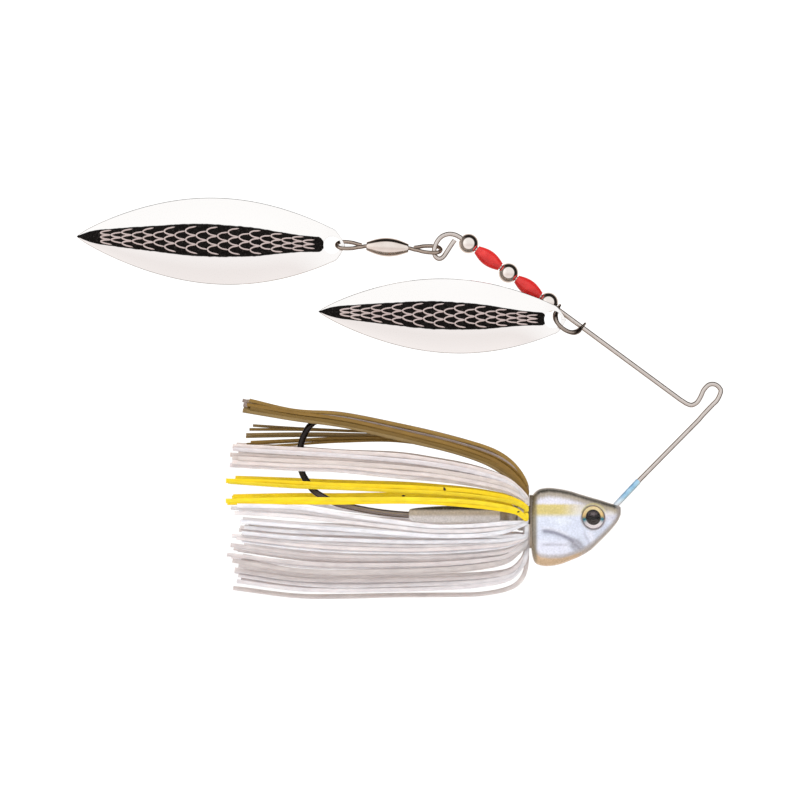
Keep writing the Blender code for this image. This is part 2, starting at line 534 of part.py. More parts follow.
def swivel_eye(name, tip, to_mid, turn_deg):
    """A ring of wire closed on its stem; the stem's head sits inside the barrel."""
    side0 = Vector((0, 0, 1))
    side0 = (side0 - to_mid * side0.dot(to_mid)).normalized()
    q = Matrix.Rotation(math.radians(turn_deg), 3, to_mid)
    side = q @ side0
    dist = (MID - tip).length
    pts = []
    R, L = 1.5, (dist - BARREL_HALF) / 1.22
    for k in range(13):
        a = math.radians(90 + 180 * k / 12)
        pts.append((R + R * math.cos(a), R * math.sin(a)))
    right = [(L * 0.42, -1.5), (L * 0.66, -1.25), (L * 0.86, -0.72), (L * 0.985, -0.52)]
    left = [(L * 1.0, 0.42), (L * 0.84, 0.78), (L * 0.66, 1.25), (L * 0.42, 1.5)]
    stem = [(L * 1.12, -0.12), (L * 1.2, 0.0), (dist - 3.2, 0.0), (dist - 1.2, 0.0)]
    flat = left + pts + right + stem
    P = [tip + to_mid * u + side * v for u, v in flat]
    o = wire(name, [tuple(p) for p in P], SWIVEL_EYE_R)
    hd = turned(name + "_head", [(0, dist - 2.6), (0.8, dist - 2.35), (0.85, dist - 1.3), (0, dist - 0.95)], tip, to_mid, 12)
    boolean(o, hd, "UNION")
    finish(o, name, BRASS)
    return o


f = swivel_eye("swivel_eye_front", A, AX, 58)
set_origin(f, (-59.85, 0, 29.9))
r = swivel_eye("swivel_eye_rear", B, -AX, -58)
set_origin(r, B)
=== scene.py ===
import math
import random

import bmesh
import bpy
import numpy as np
from mathutils import Matrix, Vector


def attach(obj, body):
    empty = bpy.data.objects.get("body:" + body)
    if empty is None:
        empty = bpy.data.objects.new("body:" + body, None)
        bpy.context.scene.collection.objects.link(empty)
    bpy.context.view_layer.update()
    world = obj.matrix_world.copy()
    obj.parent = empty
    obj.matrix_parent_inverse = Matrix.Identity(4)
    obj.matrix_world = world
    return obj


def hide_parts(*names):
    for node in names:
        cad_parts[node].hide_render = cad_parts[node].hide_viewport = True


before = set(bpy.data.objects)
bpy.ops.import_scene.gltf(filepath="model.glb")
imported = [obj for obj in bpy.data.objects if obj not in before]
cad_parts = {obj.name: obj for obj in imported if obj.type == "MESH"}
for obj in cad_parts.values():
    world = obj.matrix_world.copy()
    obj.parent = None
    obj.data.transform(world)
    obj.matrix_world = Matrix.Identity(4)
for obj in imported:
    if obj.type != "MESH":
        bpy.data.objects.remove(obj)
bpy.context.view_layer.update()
MM = 0.001
scene = bpy.context.scene

# ---------------------------------------------------------------- dimensions, as in the CAD part (mm)
WIRE_R = 0.51
ARM_A = math.radians(36.4)
ARM0 = Vector((-6.99, 0, -2.28))
UP = Vector((-math.cos(ARM_A), 0, math.sin(ARM_A)))
OUT = Vector((-math.sin(ARM_A), 0, -math.cos(ARM_A)))
ARM_LEN = 58.7
BEAD_R, BEAD_BORE_R, BEAD_PITCH, BEAD3_S = 2.1, 0.72, 5.32, 35.2
RED_R, RED_HALF = 1.68, 3.14
CLEVIS_S, CLEVIS_TURN, CLEVIS_W, CLEVIS_T = 29.45, 52.0, 0.92, 0.5
FRONT_LEN, FRONT_HALF, REAR_LEN, REAR_HALF = 52.9, 8.06, 57.7, 9.4
DISH, PLATE, HOLE_R = 1.35, 0.45, 1.86
FRONT_Y, REAR_Y = -2.52, 0.22
SWIVEL_A, SWIVEL_B = Vector((-58.42, 0, 29.9)), Vector((-80.8, 0, 30.99))
SWIVEL_EYE_R, BARREL_HALF = 0.42, 4.5
AXIS_Z, COLLAR_R, HOOK_R = -27.1, 2.3, 0.7
RING = (-27.0, -28.0)


def on_arm(s):
    return ARM0 + UP * s


# ---------------------------------------------------------------- mesh helpers
def make(name, verts, faces, uvs=None, tints=None, mats=(), mat_ids=None, smooth=True):
    """A mesh object from mm points; uvs and tints are per vertex."""
    me = bpy.data.meshes.new(name)
    me.from_pydata([tuple(c * MM for c in v) for v in verts], [], faces)
    me.update()
    if uvs is not None:
        layer = me.uv_layers.new(name="layout")
        idx = np.zeros(len(me.loops), np.int32)
        me.loops.foreach_get("vertex_index", idx)
        layer.data.foreach_set("uv", np.array(uvs, np.float32)[idx].ravel())
    if tints is not None:
        at = me.color_attributes.new("tint", "FLOAT_COLOR", "POINT")
        t = np.array(tints, np.float32)
        if t.shape[1] == 3:
            t = np.hstack([t, np.ones((len(t), 1), np.float32)])
        at.data.foreach_set("color", t.ravel())
    o = bpy.data.objects.new(name, me)
    scene.collection.objects.link(o)
    for m in mats:
        me.materials.append(m)
    if mat_ids is not None:
        me.polygons.foreach_set("material_index", np.array(mat_ids, np.int32))
    me.polygons.foreach_set("use_smooth", [smooth] * len(me.polygons))
    return o


def fix_normals(o):
    bm = bmesh.new()
    bm.from_mesh(o.data)
    bmesh.ops.recalc_face_normals(bm, faces=bm.faces)
    bm.to_mesh(o.data)
    bm.free()
    return o


def crisp(o, angle=35):
    """Smooth shading with the edges over an angle kept sharp."""
    o.data.set_sharp_from_angle(angle=math.radians(angle))
    return o


def spline(knots, steps):
    k = [Vector(p) for p in knots]
    k = [k[0] * 2 - k[1]] + k + [k[-1] * 2 - k[-2]]
    out = []
    for i in range(1, len(k) - 2):
        for j in range(steps):
            t = j / steps
            a, b, c, d = k[i - 1 : i + 3]
            out.append(0.5 * ((2 * b) + (c - a) * t + (2 * a - 5 * b + 4 * c - d) * t * t + (3 * b - a - 3 * c + d) * t**3))
    out.append(k[-2].copy())
    return out


def frames(P):
    """Tangents and turning-free side vectors along a path."""
    n = len(P)
    T = [(P[min(i + 1, n - 1)] - P[max(i - 1, 0)]).normalized() for i in range(n)]
    ref = Vector((0, 1, 0)) if abs(T[0].y) < 0.9 else Vector((1, 0, 0))
    S = [(ref - T[0] * ref.dot(T[0])).normalized()]
    for i in range(1, n):
        q = T[i - 1].rotation_difference(T[i])
        s = q @ S[-1]
        S.append((s - T[i] * s.dot(T[i])).normalized())
    return T, S


def tube(P, radius, sides=16, name="tube", mats=(), dome=0.0):
    """A round wire with UVs (length in mm / 10, angle); radius is a number or one per point."""
    P = [Vector(p) for p in P]
    T, S = frames(P)
    verts, uvs, faces = [], [], []
    run = 0.0
    rad = radius if isinstance(radius, (list, tuple)) else [radius] * len(P)
    for i, p in enumerate(P):
        if i:
            run += (P[i] - P[i - 1]).length
        b = T[i].cross(S[i])
        for k in range(sides):
            a = 2 * math.pi * k / sides
            verts.append(p + S[i] * (rad[i] * math.cos(a)) + b * (rad[i] * math.sin(a)))
            uvs.append((run / 10, k / sides))
    for i in range(len(P) - 1):
        for k in range(sides):
            a, b = i * sides + k, i * sides + (k + 1) % sides
            faces.append((a, b, b + sides, a + sides))
    for i, sgn in ((0, -1), (len(P) - 1, 1)):
        c = len(verts)
        verts.append(P[i] + T[i] * (sgn * dome))
        uvs.append((uvs[i * sides][0], 0.5))
        faces += [(i * sides + k, i * sides + (k + 1) % sides, c) for k in range(sides)]
    return verts, faces, uvs


def tube_obj(name, P, radius, sides, mat, dome=0.0):
    v, f, u = tube(P, radius, sides, dome=dome)
    o = make(name, v, f, uvs=u, mats=[mat])
    return crisp(fix_normals(o), 50)


def turned(name, profile, centre, axis, segs=48, mats=(), smooth_steps=0, angle=32):
    """A round piece from (radius, along) points; a closed ring if it doesn't start on the axis."""
    axis = Vector(axis).normalized()
    q = Vector((0, 0, 1)).rotation_difference(axis)
    ring = profile[0][0] > 1e-6
    n = len(profile)
    rows = []
    for k in range(segs):
        a = 2 * math.pi * k / segs
        rows.append([q @ Vector((r * math.cos(a), r * math.sin(a), h)) + Vector(centre) for r, h in profile])
    faces = []
    if ring:
        verts = [p for row in rows for p in row]
        for k in range(segs):
            a, b = k * n, ((k + 1) % segs) * n
            for i in range(n):
                faces.append((a + i, b + i, b + (i + 1) % n, a + (i + 1) % n))
    else:
        inner = n - 2
        verts = [rows[0][0], rows[0][-1]] + [p for row in rows for p in row[1:-1]]
        for k in range(segs):
            a, b = 2 + k * inner, 2 + ((k + 1) % segs) * inner
            faces.append((0, b, a))
            faces.append((1, a + inner - 1, b + inner - 1))
            for i in range(inner - 1):
                faces.append((a + i, b + i, b + i + 1, a + i + 1))
    o = make(name, verts, faces, mats=mats)
    return crisp(fix_normals(o), angle)


def join(name, objs):
    bpy.ops.object.select_all(action="DESELECT")
    for o in objs:
        o.select_set(True)
    bpy.context.view_layer.objects.active = objs[0]
    bpy.ops.object.join()
    o = objs[0]
    o.name = name
    o.data.name = name
    return o


def cut(o, tool):
    m = o.modifiers.new("cut", "BOOLEAN")
    m.operation, m.object, m.solver = "DIFFERENCE", tool, "EXACT"
    bpy.context.view_layer.update()
    me = bpy.data.meshes.new_from_object(o.evaluated_get(bpy.context.evaluated_depsgraph_get()))
    o.modifiers.clear()
    o.data = me
    bpy.data.objects.remove(tool, do_unlink=True)
    return o


def done(o, body, nodes):
    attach(o, body)
    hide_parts(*nodes)
    return o


# ---------------------------------------------------------------- materials
def shader(name, color, rough, metal, **more):
    m = bpy.data.materials.new(name)
    m.use_nodes = True
    nt = m.node_tree
    b = nt.nodes["Principled BSDF"]
    b.inputs["Base Color"].default_value = (*color, 1)
    b.inputs["Roughness"].default_value = rough
    b.inputs["Metallic"].default_value = metal
    for k, v in more.items():
        b.inputs[k.replace("_", " ")].default_value = v
    m.diffuse_color = (*color, 1)
    return m, nt, b


def node(nt, kind, **props):
    n = nt.nodes.new(kind)
    for k, v in props.items():
        setattr(n, k, v)
    return n


def obj_coords(nt, scale=(1, 1, 1), rot=(0, 0, 0)):
    tc = node(nt, "ShaderNodeTexCoord")
    mp = node(nt, "ShaderNodeMapping")
    mp.inputs["Scale"].default_value = scale
    mp.inputs["Rotation"].default_value = rot
    nt.links.new(tc.outputs["Object"], mp.inputs["Vector"])
    return mp.outputs["Vector"]


def uv_coords(nt, scale=(1, 1, 1)):
    uv = node(nt, "ShaderNodeUVMap", uv_map="layout")
    mp = node(nt, "ShaderNodeMapping")
    mp.inputs["Scale"].default_value = scale
    nt.links.new(uv.outputs["UV"], mp.inputs["Vector"])
    return mp.outputs["Vector"]


def noise(nt, vec, scale, detail=3.0, rough=0.55):
    n = node(nt, "ShaderNodeTexNoise")
    n.inputs["Scale"].default_value = scale
    n.inputs["Detail"].default_value = detail
    n.inputs["Roughness"].default_value = rough
    nt.links.new(vec, n.inputs["Vector"])
    return n.outputs["Fac"]


def ramp(nt, fac, stops, interp="LINEAR"):
    r = node(nt, "ShaderNodeValToRGB")
    r.color_ramp.interpolation = interp
    els = r.color_ramp.elements
    while len(els) < len(stops):
        els.new(0.5)
    for e, (pos, col) in zip(els, stops):
        e.position = pos
        e.color = (*col, 1) if len(col) == 3 else col
    nt.links.new(fac, r.inputs["Fac"])
    return r.outputs["Color"]


def mix(nt, fac, a, b, blend="MIX"):
    m = node(nt, "ShaderNodeMix", data_type="RGBA", blend_type=blend)
    for sock, val in ((m.inputs["Factor"], fac), (m.inputs["A"], a), (m.inputs["B"], b)):
        if isinstance(val, bpy.types.NodeSocket):
            nt.links.new(val, sock)
        elif isinstance(val, (int, float)):
            sock.default_value = val
        else:
            sock.default_value = (*val, 1)
    return m.outputs["Result"]


def bump(nt, b, height, strength, dist=0.0001):
    n = node(nt, "ShaderNodeBump")
    n.inputs["Strength"].default_value = strength
    n.inputs["Distance"].default_value = dist
    nt.links.new(height, n.inputs["Height"])
    nt.links.new(n.outputs["Normal"], b.inputs["Normal"])


def spread(nt, fac, lo, hi):
    r = node(nt, "ShaderNodeMapRange")
    r.inputs["To Min"].default_value = lo
    r.inputs["To Max"].default_value = hi
    nt.links.new(fac, r.inputs["Value"])
    return r.outputs["Result"]


def metal(name, color, dark, rough, drawn=False, strength=0.25):
    """Bright or dark metal: fine drawn lines, small stains and a varied polish."""
    m, nt, b = shader(name, color, rough, 1.0)
    if drawn:
        v = uv_coords(nt, (3, 60, 1))
        lines = noise(nt, v, 2.0, 4)
    else:
        lines = noise(nt, obj_coords(nt, (1, 1, 1)), 2600, 4)
    stain = noise(nt, obj_coords(nt), 420, 3)
    c = mix(nt, spread(nt, stain, 0.0, 0.9), color, dark)
    nt.links.new(c, b.inputs["Base Color"])
    nt.links.new(spread(nt, lines, rough * 0.75, rough * 1.35), b.inputs["Roughness"])
    bump(nt, b, lines, strength, 0.00002)
    return m


STEEL = metal("steel_wire", (0.74, 0.69, 0.66), (0.55, 0.49, 0.45), 0.17, drawn=True)
HOOKM = metal("hook_black_nickel_and_highlight", (0.045, 0.038, 0.036), (0.02, 0.017, 0.016), 0.16, drawn=True)
# painted highlight: below Z -21.5 mm, on the shank and the bottom run of the bend, the black nickel fades to a lighter
# grey-tan, standing in for pale reflections along the lower bend
_nt = HOOKM.node_tree
_b = _nt.nodes["Principled BSDF"]
_src = _b.inputs["Base Color"].links[0].from_socket
_sep = node(_nt, "ShaderNodeSeparateXYZ")
_nt.links.new(obj_coords(_nt), _sep.inputs["Vector"])
_r = node(_nt, "ShaderNodeMapRange")
_r.inputs["From Min"].default_value, _r.inputs["From Max"].default_value = -0.0215, -0.0262
_nt.links.new(_sep.outputs["Z"], _r.inputs["Value"])
_nt.links.new(mix(_nt, _r.outputs["Result"], _src, (0.36, 0.31, 0.28)), _b.inputs["Base Color"])
BEADM = metal("bead_nickel", (0.93, 0.88, 0.85), (0.74, 0.67, 0.62), 0.08, strength=0.08)
CLEVM = metal("clevis_nickel", (0.42, 0.36, 0.32), (0.27, 0.22, 0.19), 0.2, drawn=True)
SWIVM = metal("swivel_nickel", (0.5, 0.41, 0.35), (0.26, 0.2, 0.16), 0.14, strength=0.15)
BARRELM = metal("swivel_barrel_nickel", (0.9, 0.83, 0.78), (0.66, 0.57, 0.51), 0.1, strength=0.1)


def red_plastic():
    m, nt, b = shader("bead_red_plastic", (0.82, 0.03, 0.025), 0.22, 0.0)
    v = obj_coords(nt)
    c = ramp(nt, noise(nt, v, 500, 3), [(0.3, (0.5, 0.008, 0.008)), (0.55, (0.64, 0.018, 0.016)), (0.8, (0.74, 0.04, 0.035))])
    nt.links.new(c, b.inputs["Base Color"])
    nt.links.new(spread(nt, noise(nt, v, 900, 2), 0.16, 0.3), b.inputs["Roughness"])
    bump(nt, b, noise(nt, v, 1500, 2), 0.15, 0.00003)
    return m


def sleeve_plastic():
    m, nt, b = shader("sleeve_light_blue", (0.3, 0.6, 0.82), 0.35, 0.0)
    v = obj_coords(nt)
    sp = node(nt, "ShaderNodeSeparateXYZ")
    nt.links.new(v, sp.inputs[0])

    def line(kx, kz, c0, gain, shift):
        a1 = node(nt, "ShaderNodeMath", operation="MULTIPLY_ADD")
        nt.links.new(sp.outputs["X"], a1.inputs[0])
        a1.inputs[1].default_value, a1.inputs[2].default_value = kx * 1000, c0
        a2 = node(nt, "ShaderNodeMath", operation="MULTIPLY_ADD")
        nt.links.new(sp.outputs["Z"], a2.inputs[0])
        a2.inputs[1].default_value = kz * 1000
        nt.links.new(a1.outputs[0], a2.inputs[2])
        a3 = node(nt, "ShaderNodeMath", operation="MULTIPLY_ADD", use_clamp=True)
        nt.links.new(a2.outputs[0], a3.inputs[0])
        a3.inputs[1].default_value, a3.inputs[2].default_value = gain, shift
        return a3.outputs[0]

    # painted shade and highlight across the tube: darker and cool at the upper-left edge, brightest just below the
    # middle, warm then darker at the lower-right edge; towards the lower end the colour turns a paler grey-blue, again
    # with painted shade at both edges
    across = line(0.727, -0.686, -2.037, 0.72, 0.5)
    foot = line(0.686, 0.727, 28.01, -0.42, -0.75)
    c = ramp(nt, noise(nt, v, 700, 4), [(0.3, (0.2, 0.38, 0.55)), (0.55, (0.3, 0.5, 0.66)), (0.8, (0.46, 0.62, 0.72))])
    c = mix(nt, 1.0, c, ramp(nt, across, [(0.08, (0.55, 0.6, 0.66)), (0.3, (1.0, 1.04, 1.08)), (0.6, (1.12, 1.1, 1.04)), (0.78, (1.15, 0.95, 0.82)), (0.95, (0.75, 0.55, 0.46))]), "MULTIPLY")
    c = mix(nt, foot, c, ramp(nt, across, [(0.1, (0.4, 0.46, 0.52)), (0.4, (0.72, 0.78, 0.84)), (0.75, (0.66, 0.66, 0.68)), (0.95, (0.3, 0.28, 0.27))]))
    nt.links.new(c, b.inputs["Base Color"])
    nt.links.new(spread(nt, noise(nt, v, 1200, 2), 0.3, 0.48), b.inputs["Roughness"])
    bump(nt, b, noise(nt, v, 1600, 2), 0.25, 0.00004)
    return m


def rubber():
    m, nt, b = shader("band_clear_rubber", (0.5, 0.44, 0.4), 0.5, 0.0)
    v = obj_coords(nt)
    nt.links.new(ramp(nt, noise(nt, v, 900, 4), [(0.3, (0.44, 0.38, 0.34)), (0.7, (0.58, 0.52, 0.48))]), b.inputs["Base Color"])
    bump(nt, b, noise(nt, v, 1800, 4), 0.4, 0.00006)
    return m


def silicone(name, fleck, fleck_at, rough, trans, sub=0.0):
    """Ribbon silicone: the strand's tint (its own colour, with painted sheen on the grey-lavender crest strands and
    painted shade on the darker lower white strands), fine extrusion lines, cloudy filler and sparse dark flecks.
    """
    m, nt, b = shader(name, (0.7, 0.7, 0.7), rough, 0.0)
    b.inputs["Transmission Weight"].default_value = trans
    b.inputs["IOR"].default_value = 1.41
    b.inputs["Subsurface Weight"].default_value = sub
    b.inputs["Subsurface Radius"].default_value = (0.6, 0.5, 0.45)
    b.inputs["Subsurface Scale"].default_value = 0.0006
    at = node(nt, "ShaderNodeAttribute", attribute_name="tint")
    v = uv_coords(nt, (1.0, 26.0, 1))
    lines = noise(nt, v, 1.6, 4, 0.6)
    cloud = noise(nt, obj_coords(nt, (0.35, 1, 1)), 900, 3)
    c = mix(nt, 1.0, at.outputs["Color"], ramp(nt, lines, [(0.25, (0.8, 0.79, 0.8)), (0.5, (0.98, 0.98, 0.98)), (0.8, (1.1, 1.09, 1.08))]), "MULTIPLY")
    c = mix(nt, 1.0, c, ramp(nt, cloud, [(0.3, (0.86, 0.85, 0.86)), (0.7, (1.05, 1.05, 1.05))]), "MULTIPLY")
    spots = noise(nt, obj_coords(nt, (0.6, 1, 1)), 620, 1.0, 0.4)
    mask = ramp(nt, spots, [(fleck_at, (0, 0, 0)), (fleck_at + 0.012, (1, 1, 1))])
    c = mix(nt, mask, c, fleck)
    nt.links.new(c, b.inputs["Base Color"])
    nt.links.new(spread(nt, lines, rough * 0.8, rough * 1.25), b.inputs["Roughness"])
    bump(nt, b, lines, 0.5, 0.00006)
    return m


SIL_OLIVE = silicone("silicone_olive_strands", (0.02, 0.012, 0.005), 0.80, 0.36, 0.0)
SIL_YELLOW = silicone("silicone_yellow_strands", (0.03, 0.02, 0.0), 0.785, 0.34, 0.0, 0.15)
SIL_PEARL = silicone("silicone_pearl_strands", (0.12, 0.1, 0.09), 0.82, 0.34, 0.0, 0.35)
SIL_WHITE = silicone("silicone_white_strands", (0.12, 0.1, 0.09), 0.82, 0.34, 0.0, 0.35)
RED, BLUE, RUBBER = red_plastic(), sleeve_plastic(), rubber()


def blade_metal():
    """Polished nickel, with a near-black lens-shaped band down the middle of the convex face: a painted reflection of a
    dark surround, put into the base colour.
    """
    m, nt, b = shader("blade_polished", (0.97, 0.955, 0.945), 0.06, 1.0)
    uv = node(nt, "ShaderNodeUVMap", uv_map="layout")
    sep = node(nt, "ShaderNodeSeparateXYZ")
    nt.links.new(uv.outputs["UV"], sep.inputs["Vector"])
    v = obj_coords(nt)
    wob = node(nt, "ShaderNodeMath", operation="MULTIPLY_ADD")
    wob.inputs[1].default_value = 0.05
    nt.links.new(noise(nt, obj_coords(nt, (1, 1, 1)), 900, 3), wob.inputs[0])
    nt.links.new(sep.outputs["Y"], wob.inputs[2])
    # painted reflection: inside the lens outline on the convex face the base colour turns near black, a dark surround
    # mirrored in the polished blade
    reflection_band = ramp(nt, wob.outputs["Value"], [(0.0, (1, 1, 1)), (0.515, (1, 1, 1)), (0.535, (0, 0, 0)), (1.0, (0, 0, 0))])
    grain = noise(nt, v, 3200, 2)
    black = ramp(nt, grain, [(0.35, (0.006, 0.005, 0.005)), (0.62, (0.016, 0.014, 0.013)), (0.78, (0.06, 0.054, 0.05))])
    swirl = noise(nt, obj_coords(nt, (0.4, 1, 1)), 60, 2)
    bright = ramp(nt, swirl, [(0.3, (0.985, 0.975, 0.97)), (0.7, (0.955, 0.94, 0.93))])
    nt.links.new(mix(nt, reflection_band, bright, black), b.inputs["Base Color"])
    r = node(nt, "ShaderNodeMath", operation="MULTIPLY_ADD")
    r.inputs[1].default_value = 0.2
    r.inputs[2].default_value = 0.07
    nt.links.new(reflection_band, r.inputs[0])
    nt.links.new(r.outputs["Value"], b.inputs["Roughness"])
    h = node(nt, "ShaderNodeMath", operation="MULTIPLY")
    nt.links.new(reflection_band, h.inputs[0])
    nt.links.new(grain, h.inputs[1])
    bump(nt, b, h.outputs["Value"], 0.5, 0.00003)
    return m


BLADE = blade_metal()
EMBOSS = metal("blade_raised", (0.72, 0.62, 0.60), (0.5, 0.4, 0.38), 0.14, strength=0.1)


def head_paint():
    """Airbrushed paint under gloss: the tint painted on the shape (which also carries painted shade and highlights
    along the moulded lines and painted shade on the rear step), fine speckle and a pearl film.
    """
    m, nt, b = shader("head_airbrushed_and_shaded", (0.7, 0.7, 0.8), 0.24, 0.0)
    b.inputs["Coat Weight"].default_value = 0.7
    b.inputs["Coat Roughness"].default_value = 0.06
    at = node(nt, "ShaderNodeAttribute", attribute_name="tint")
    v = obj_coords(nt)
    fine = noise(nt, v, 2600, 3)
    broad = noise(nt, obj_coords(nt, (0.6, 1, 1.5)), 330, 4)
    c = mix(nt, 1.0, at.outputs["Color"], ramp(nt, fine, [(0.3, (0.86, 0.86, 0.85)), (0.55, (1, 1, 1)), (0.75, (1.06, 1.06, 1.07))]), "MULTIPLY")
    c = mix(nt, 1.0, c, ramp(nt, broad, [(0.3, (0.9, 0.9, 0.93)), (0.7, (1.04, 1.04, 1.04))]), "MULTIPLY")
    nt.links.new(c, b.inputs["Base Color"])
    nt.links.new(spread(nt, fine, 0.18, 0.34), b.inputs["Roughness"])
    bump(nt, b, fine, 0.16, 0.00003)
    return m


HEADP = head_paint()


def iris_paint():
    m, nt, b = shader("eye_iris_print_and_reflection", (0.8, 0.6, 0.3), 0.4, 0.0, Specular_IOR_Level=0.05)
    at = node(nt, "ShaderNodeAttribute", attribute_name="tint")
    fine = noise(nt, obj_coords(nt), 3000, 3)
    c = mix(nt, 1.0, at.outputs["Color"], ramp(nt, fine, [(0.3, (0.85, 0.85, 0.85)), (0.7, (1.08, 1.08, 1.08))]), "MULTIPLY")
    nt.links.new(c, b.inputs["Base Color"])
    bump(nt, b, fine, 0.2, 0.00003)
    return m


def lens_resin():
    m, nt, b = shader("eye_clear_resin", (1, 1, 1), 0.02, 0.0)
    b.inputs["Transmission Weight"].default_value = 1.0
    b.inputs["IOR"].default_value = 1.22
    fine = noise(nt, obj_coords(nt), 900, 2)
    nt.links.new(ramp(nt, fine, [(0.3, (0.97, 0.98, 0.98)), (0.7, (1, 1, 1))]), b.inputs["Base Color"])
    nt.links.new(spread(nt, fine, 0.015, 0.04), b.inputs["Roughness"])
    return m


IRIS, LENS = iris_paint(), lens_resin()

# ---------------------------------------------------------------- wire form
K = lambda x, z, y=0.0: (x, y, z)
inner = spline(
    [K(RING[0], RING[1], -1.3), K(RING[0], RING[1], 0.3), K(RING[0] + 0.25, RING[1] + 0.1, 1.25), K(RING[0] + 1.7, RING[1] + 0.45, 1.55),
     K(-23.4, -26.9, 0.75), K(-21.6, -25.75, 0.1)], 6)
leg = [Vector(K(-20.32, -24.5)), Vector(K(-18.0, -22.06)), Vector(K(-15.6, -19.5)), Vector(K(-9.3, -13.1)), Vector(K(-2.95, -6.67))]
tie = spline(
    [K(-2.04, -5.59), K(-1.03, -4.52), K(0.0, -3.44), K(1.03, -2.37), K(1.78, -0.65), K(1.5, 0.22), K(0.75, 0.86), K(-0.11, 1.03), K(-0.97, 0.75),
     K(-1.87, -0.22), K(-2.37, -1.29), K(-2.8, -2.15), K(-3.44, -3.01), K(-4.52, -3.5), K(-5.6, -3.18)], 5)
base = ARM0 + UP * ARM_LEN
arm = [ARM0 + UP * (s * ARM_LEN / 12) for s in range(12)]
loop = spline(
    [tuple(base), K(-55.35, 33.12), K(-56.7, 33.3), K(-58.1, 32.85), K(-59.1, 31.85), K(-59.68, 30.6), K(-59.85, 29.5), K(-59.55, 28.45),
     K(-58.75, 27.98), K(-57.9, 28.4), K(-57.1, 29.5), K(-56.3, 30.75), K(-55.75, 31.55), K(-55.42, 32.0)], 5)
wire = tube_obj("vis_wire_form", inner + leg + tie + arm + loop, WIRE_R, 20, STEEL, dome=0.0)
done(wire, "lure_frame", ["wire_form"])

# ---------------------------------------------------------------- sleeve on the leg
leg_dir = Vector((4.72, 0, 5.0)).normalized()
sleeve = turned("vis_nose_sleeve", [(0.53, -4.55), (0.56, -4.6), (0.6, -4.4), (0.62, -3.4), (0.63, 0.0), (0.62, 2.3), (0.6, 2.66), (0.56, 2.75), (0.53, 2.7)],
                Vector((-17.75, 0, -21.78)), leg_dir, 32, [BLUE], angle=60)
done(sleeve, "lure_frame", ["nose_sleeve"])

# ---------------------------------------------------------------- head, collar and keeper: one casting
HEAD = [(-39.05, -25.2, -29.9, 2.55), (-38.95, -24.0, -34.2, 3.5), (-38.4, -22.55, -37.0, 4.15), (-37.2, -21.6, -37.9, 4.6), (-35.2, -21.3, -38.1, 4.85),
        (-32.8, -21.55, -37.7, 4.9), (-30.6, -22.0, -36.9, 4.8), (-28.5, -22.65, -36.0, 4.6), (-26.35, -23.3, -34.7, 4.2),
        (-24.2, -23.9, -32.7, 3.6), (-22.05, -24.6, -30.5, 2.75), (-20.5, -25.0, -28.6, 1.75), (-19.8, -25.4, -27.2, 0.85)]


def between(rows, per):
    """Catmull-Rom rows between given rows."""
    k = [np.array(r, float) for r in rows]
    k = [2 * k[0] - k[1]] + k + [2 * k[-1] - k[-2]]
    out = []
    for i in range(1, len(k) - 2):
        for j in range(per):
            t = j / per
            a, b, c, d = k[i - 1 : i + 3]
            out.append(0.5 * (2 * b + (c - a) * t + (2 * a - 5 * b + 4 * c - d) * t * t + (3 * b - a - 3 * c + d) * t**3))
    out.append(k[-2])
    return out


EYE_X, EYE_Z = -25.95, -27.4


def bump_at(d, width):
    return math.exp(-((d / width) ** 2))


def relief(x, z):
    """Depth in mm of the moulded gill and cheek lines at x, z on the side."""
    gx = -30.3 + 0.055 * (z + 27.0) ** 2 * (1 if z < -27 else 0.4)  # the gill plate's rear edge, a curve
    on = 1.0 if -35.5 < z < -22.8 else 0.0
    d = -0.16 * bump_at(x - gx, 0.35) * on + 0.13 * bump_at(x - gx - 0.9, 0.6) * on
    for z0, x0, x1, bend in ((-30.3, -37.3, -31.0, 0.047), (-33.25, -37.0, -31.2, 0.0)):
        if x0 < x < x1:
            e = min(1, (x - x0) / 1.2, (x1 - x) / 1.2)
            d += -0.14 * e * bump_at(z - (z0 - bend * (x - x0) ** 2), 0.32)
    de = math.hypot(x - EYE_X, z - EYE_Z)
    d += 0.16 * bump_at(de - 2.95, 0.3)
    mx = -21.9
    if x > mx:
        d += -0.12 * bump_at(z - (-27.6 - 0.2 * (x - mx)), 0.2)
    return d


rows = between(HEAD, 10)
verts, faces = [], []
NR = 216
for x, top, bottom, half in rows:
    c, h = (top + bottom) / 2, (top - bottom) / 2
    for k in range(NR):
        a = 2 * math.pi * k / NR
        ca, sa = math.cos(a), math.sin(a)
        e = 0.88
        y = half * math.copysign(abs(sa) ** e, sa)
        z = c + h * math.copysign(abs(ca) ** e, ca)
        y += math.copysign(1, y) * relief(x, z) * min(1.0, abs(sa) * 1.6) if abs(sa) > 0.05 else 0
        verts.append((x, y, z))
for i in range(len(rows) - 1):
    for k in range(NR):
        a, b = i * NR + k, i * NR + (k + 1) % NR
        faces.append((a, b, b + NR, a + NR))
for i in (0, len(rows) - 1):
    c = len(verts)
    verts.append(tuple(np.mean(verts[i * NR : (i + 1) * NR], axis=0)))
    faces += [(i * NR + k, i * NR + (k + 1) % NR, c) for k in range(NR)]
head = fix_normals(make("vis_head", verts, faces))


def half_at(x, z):
    i = max(k for k in range(len(HEAD) - 1) if HEAD[k][0] <= x)
    a, b = HEAD[i], HEAD[i + 1]
    t = (x - a[0]) / (b[0] - a[0])
    top, bottom, half = (a[j] + t * (b[j] - a[j]) for j in (1, 2, 3))
    c, h = (top + bottom) / 2, (top - bottom) / 2
    u = min(1, abs((z - c) / h)) ** (1 / 0.88)
    return half * (1 - u * u) ** 0.44


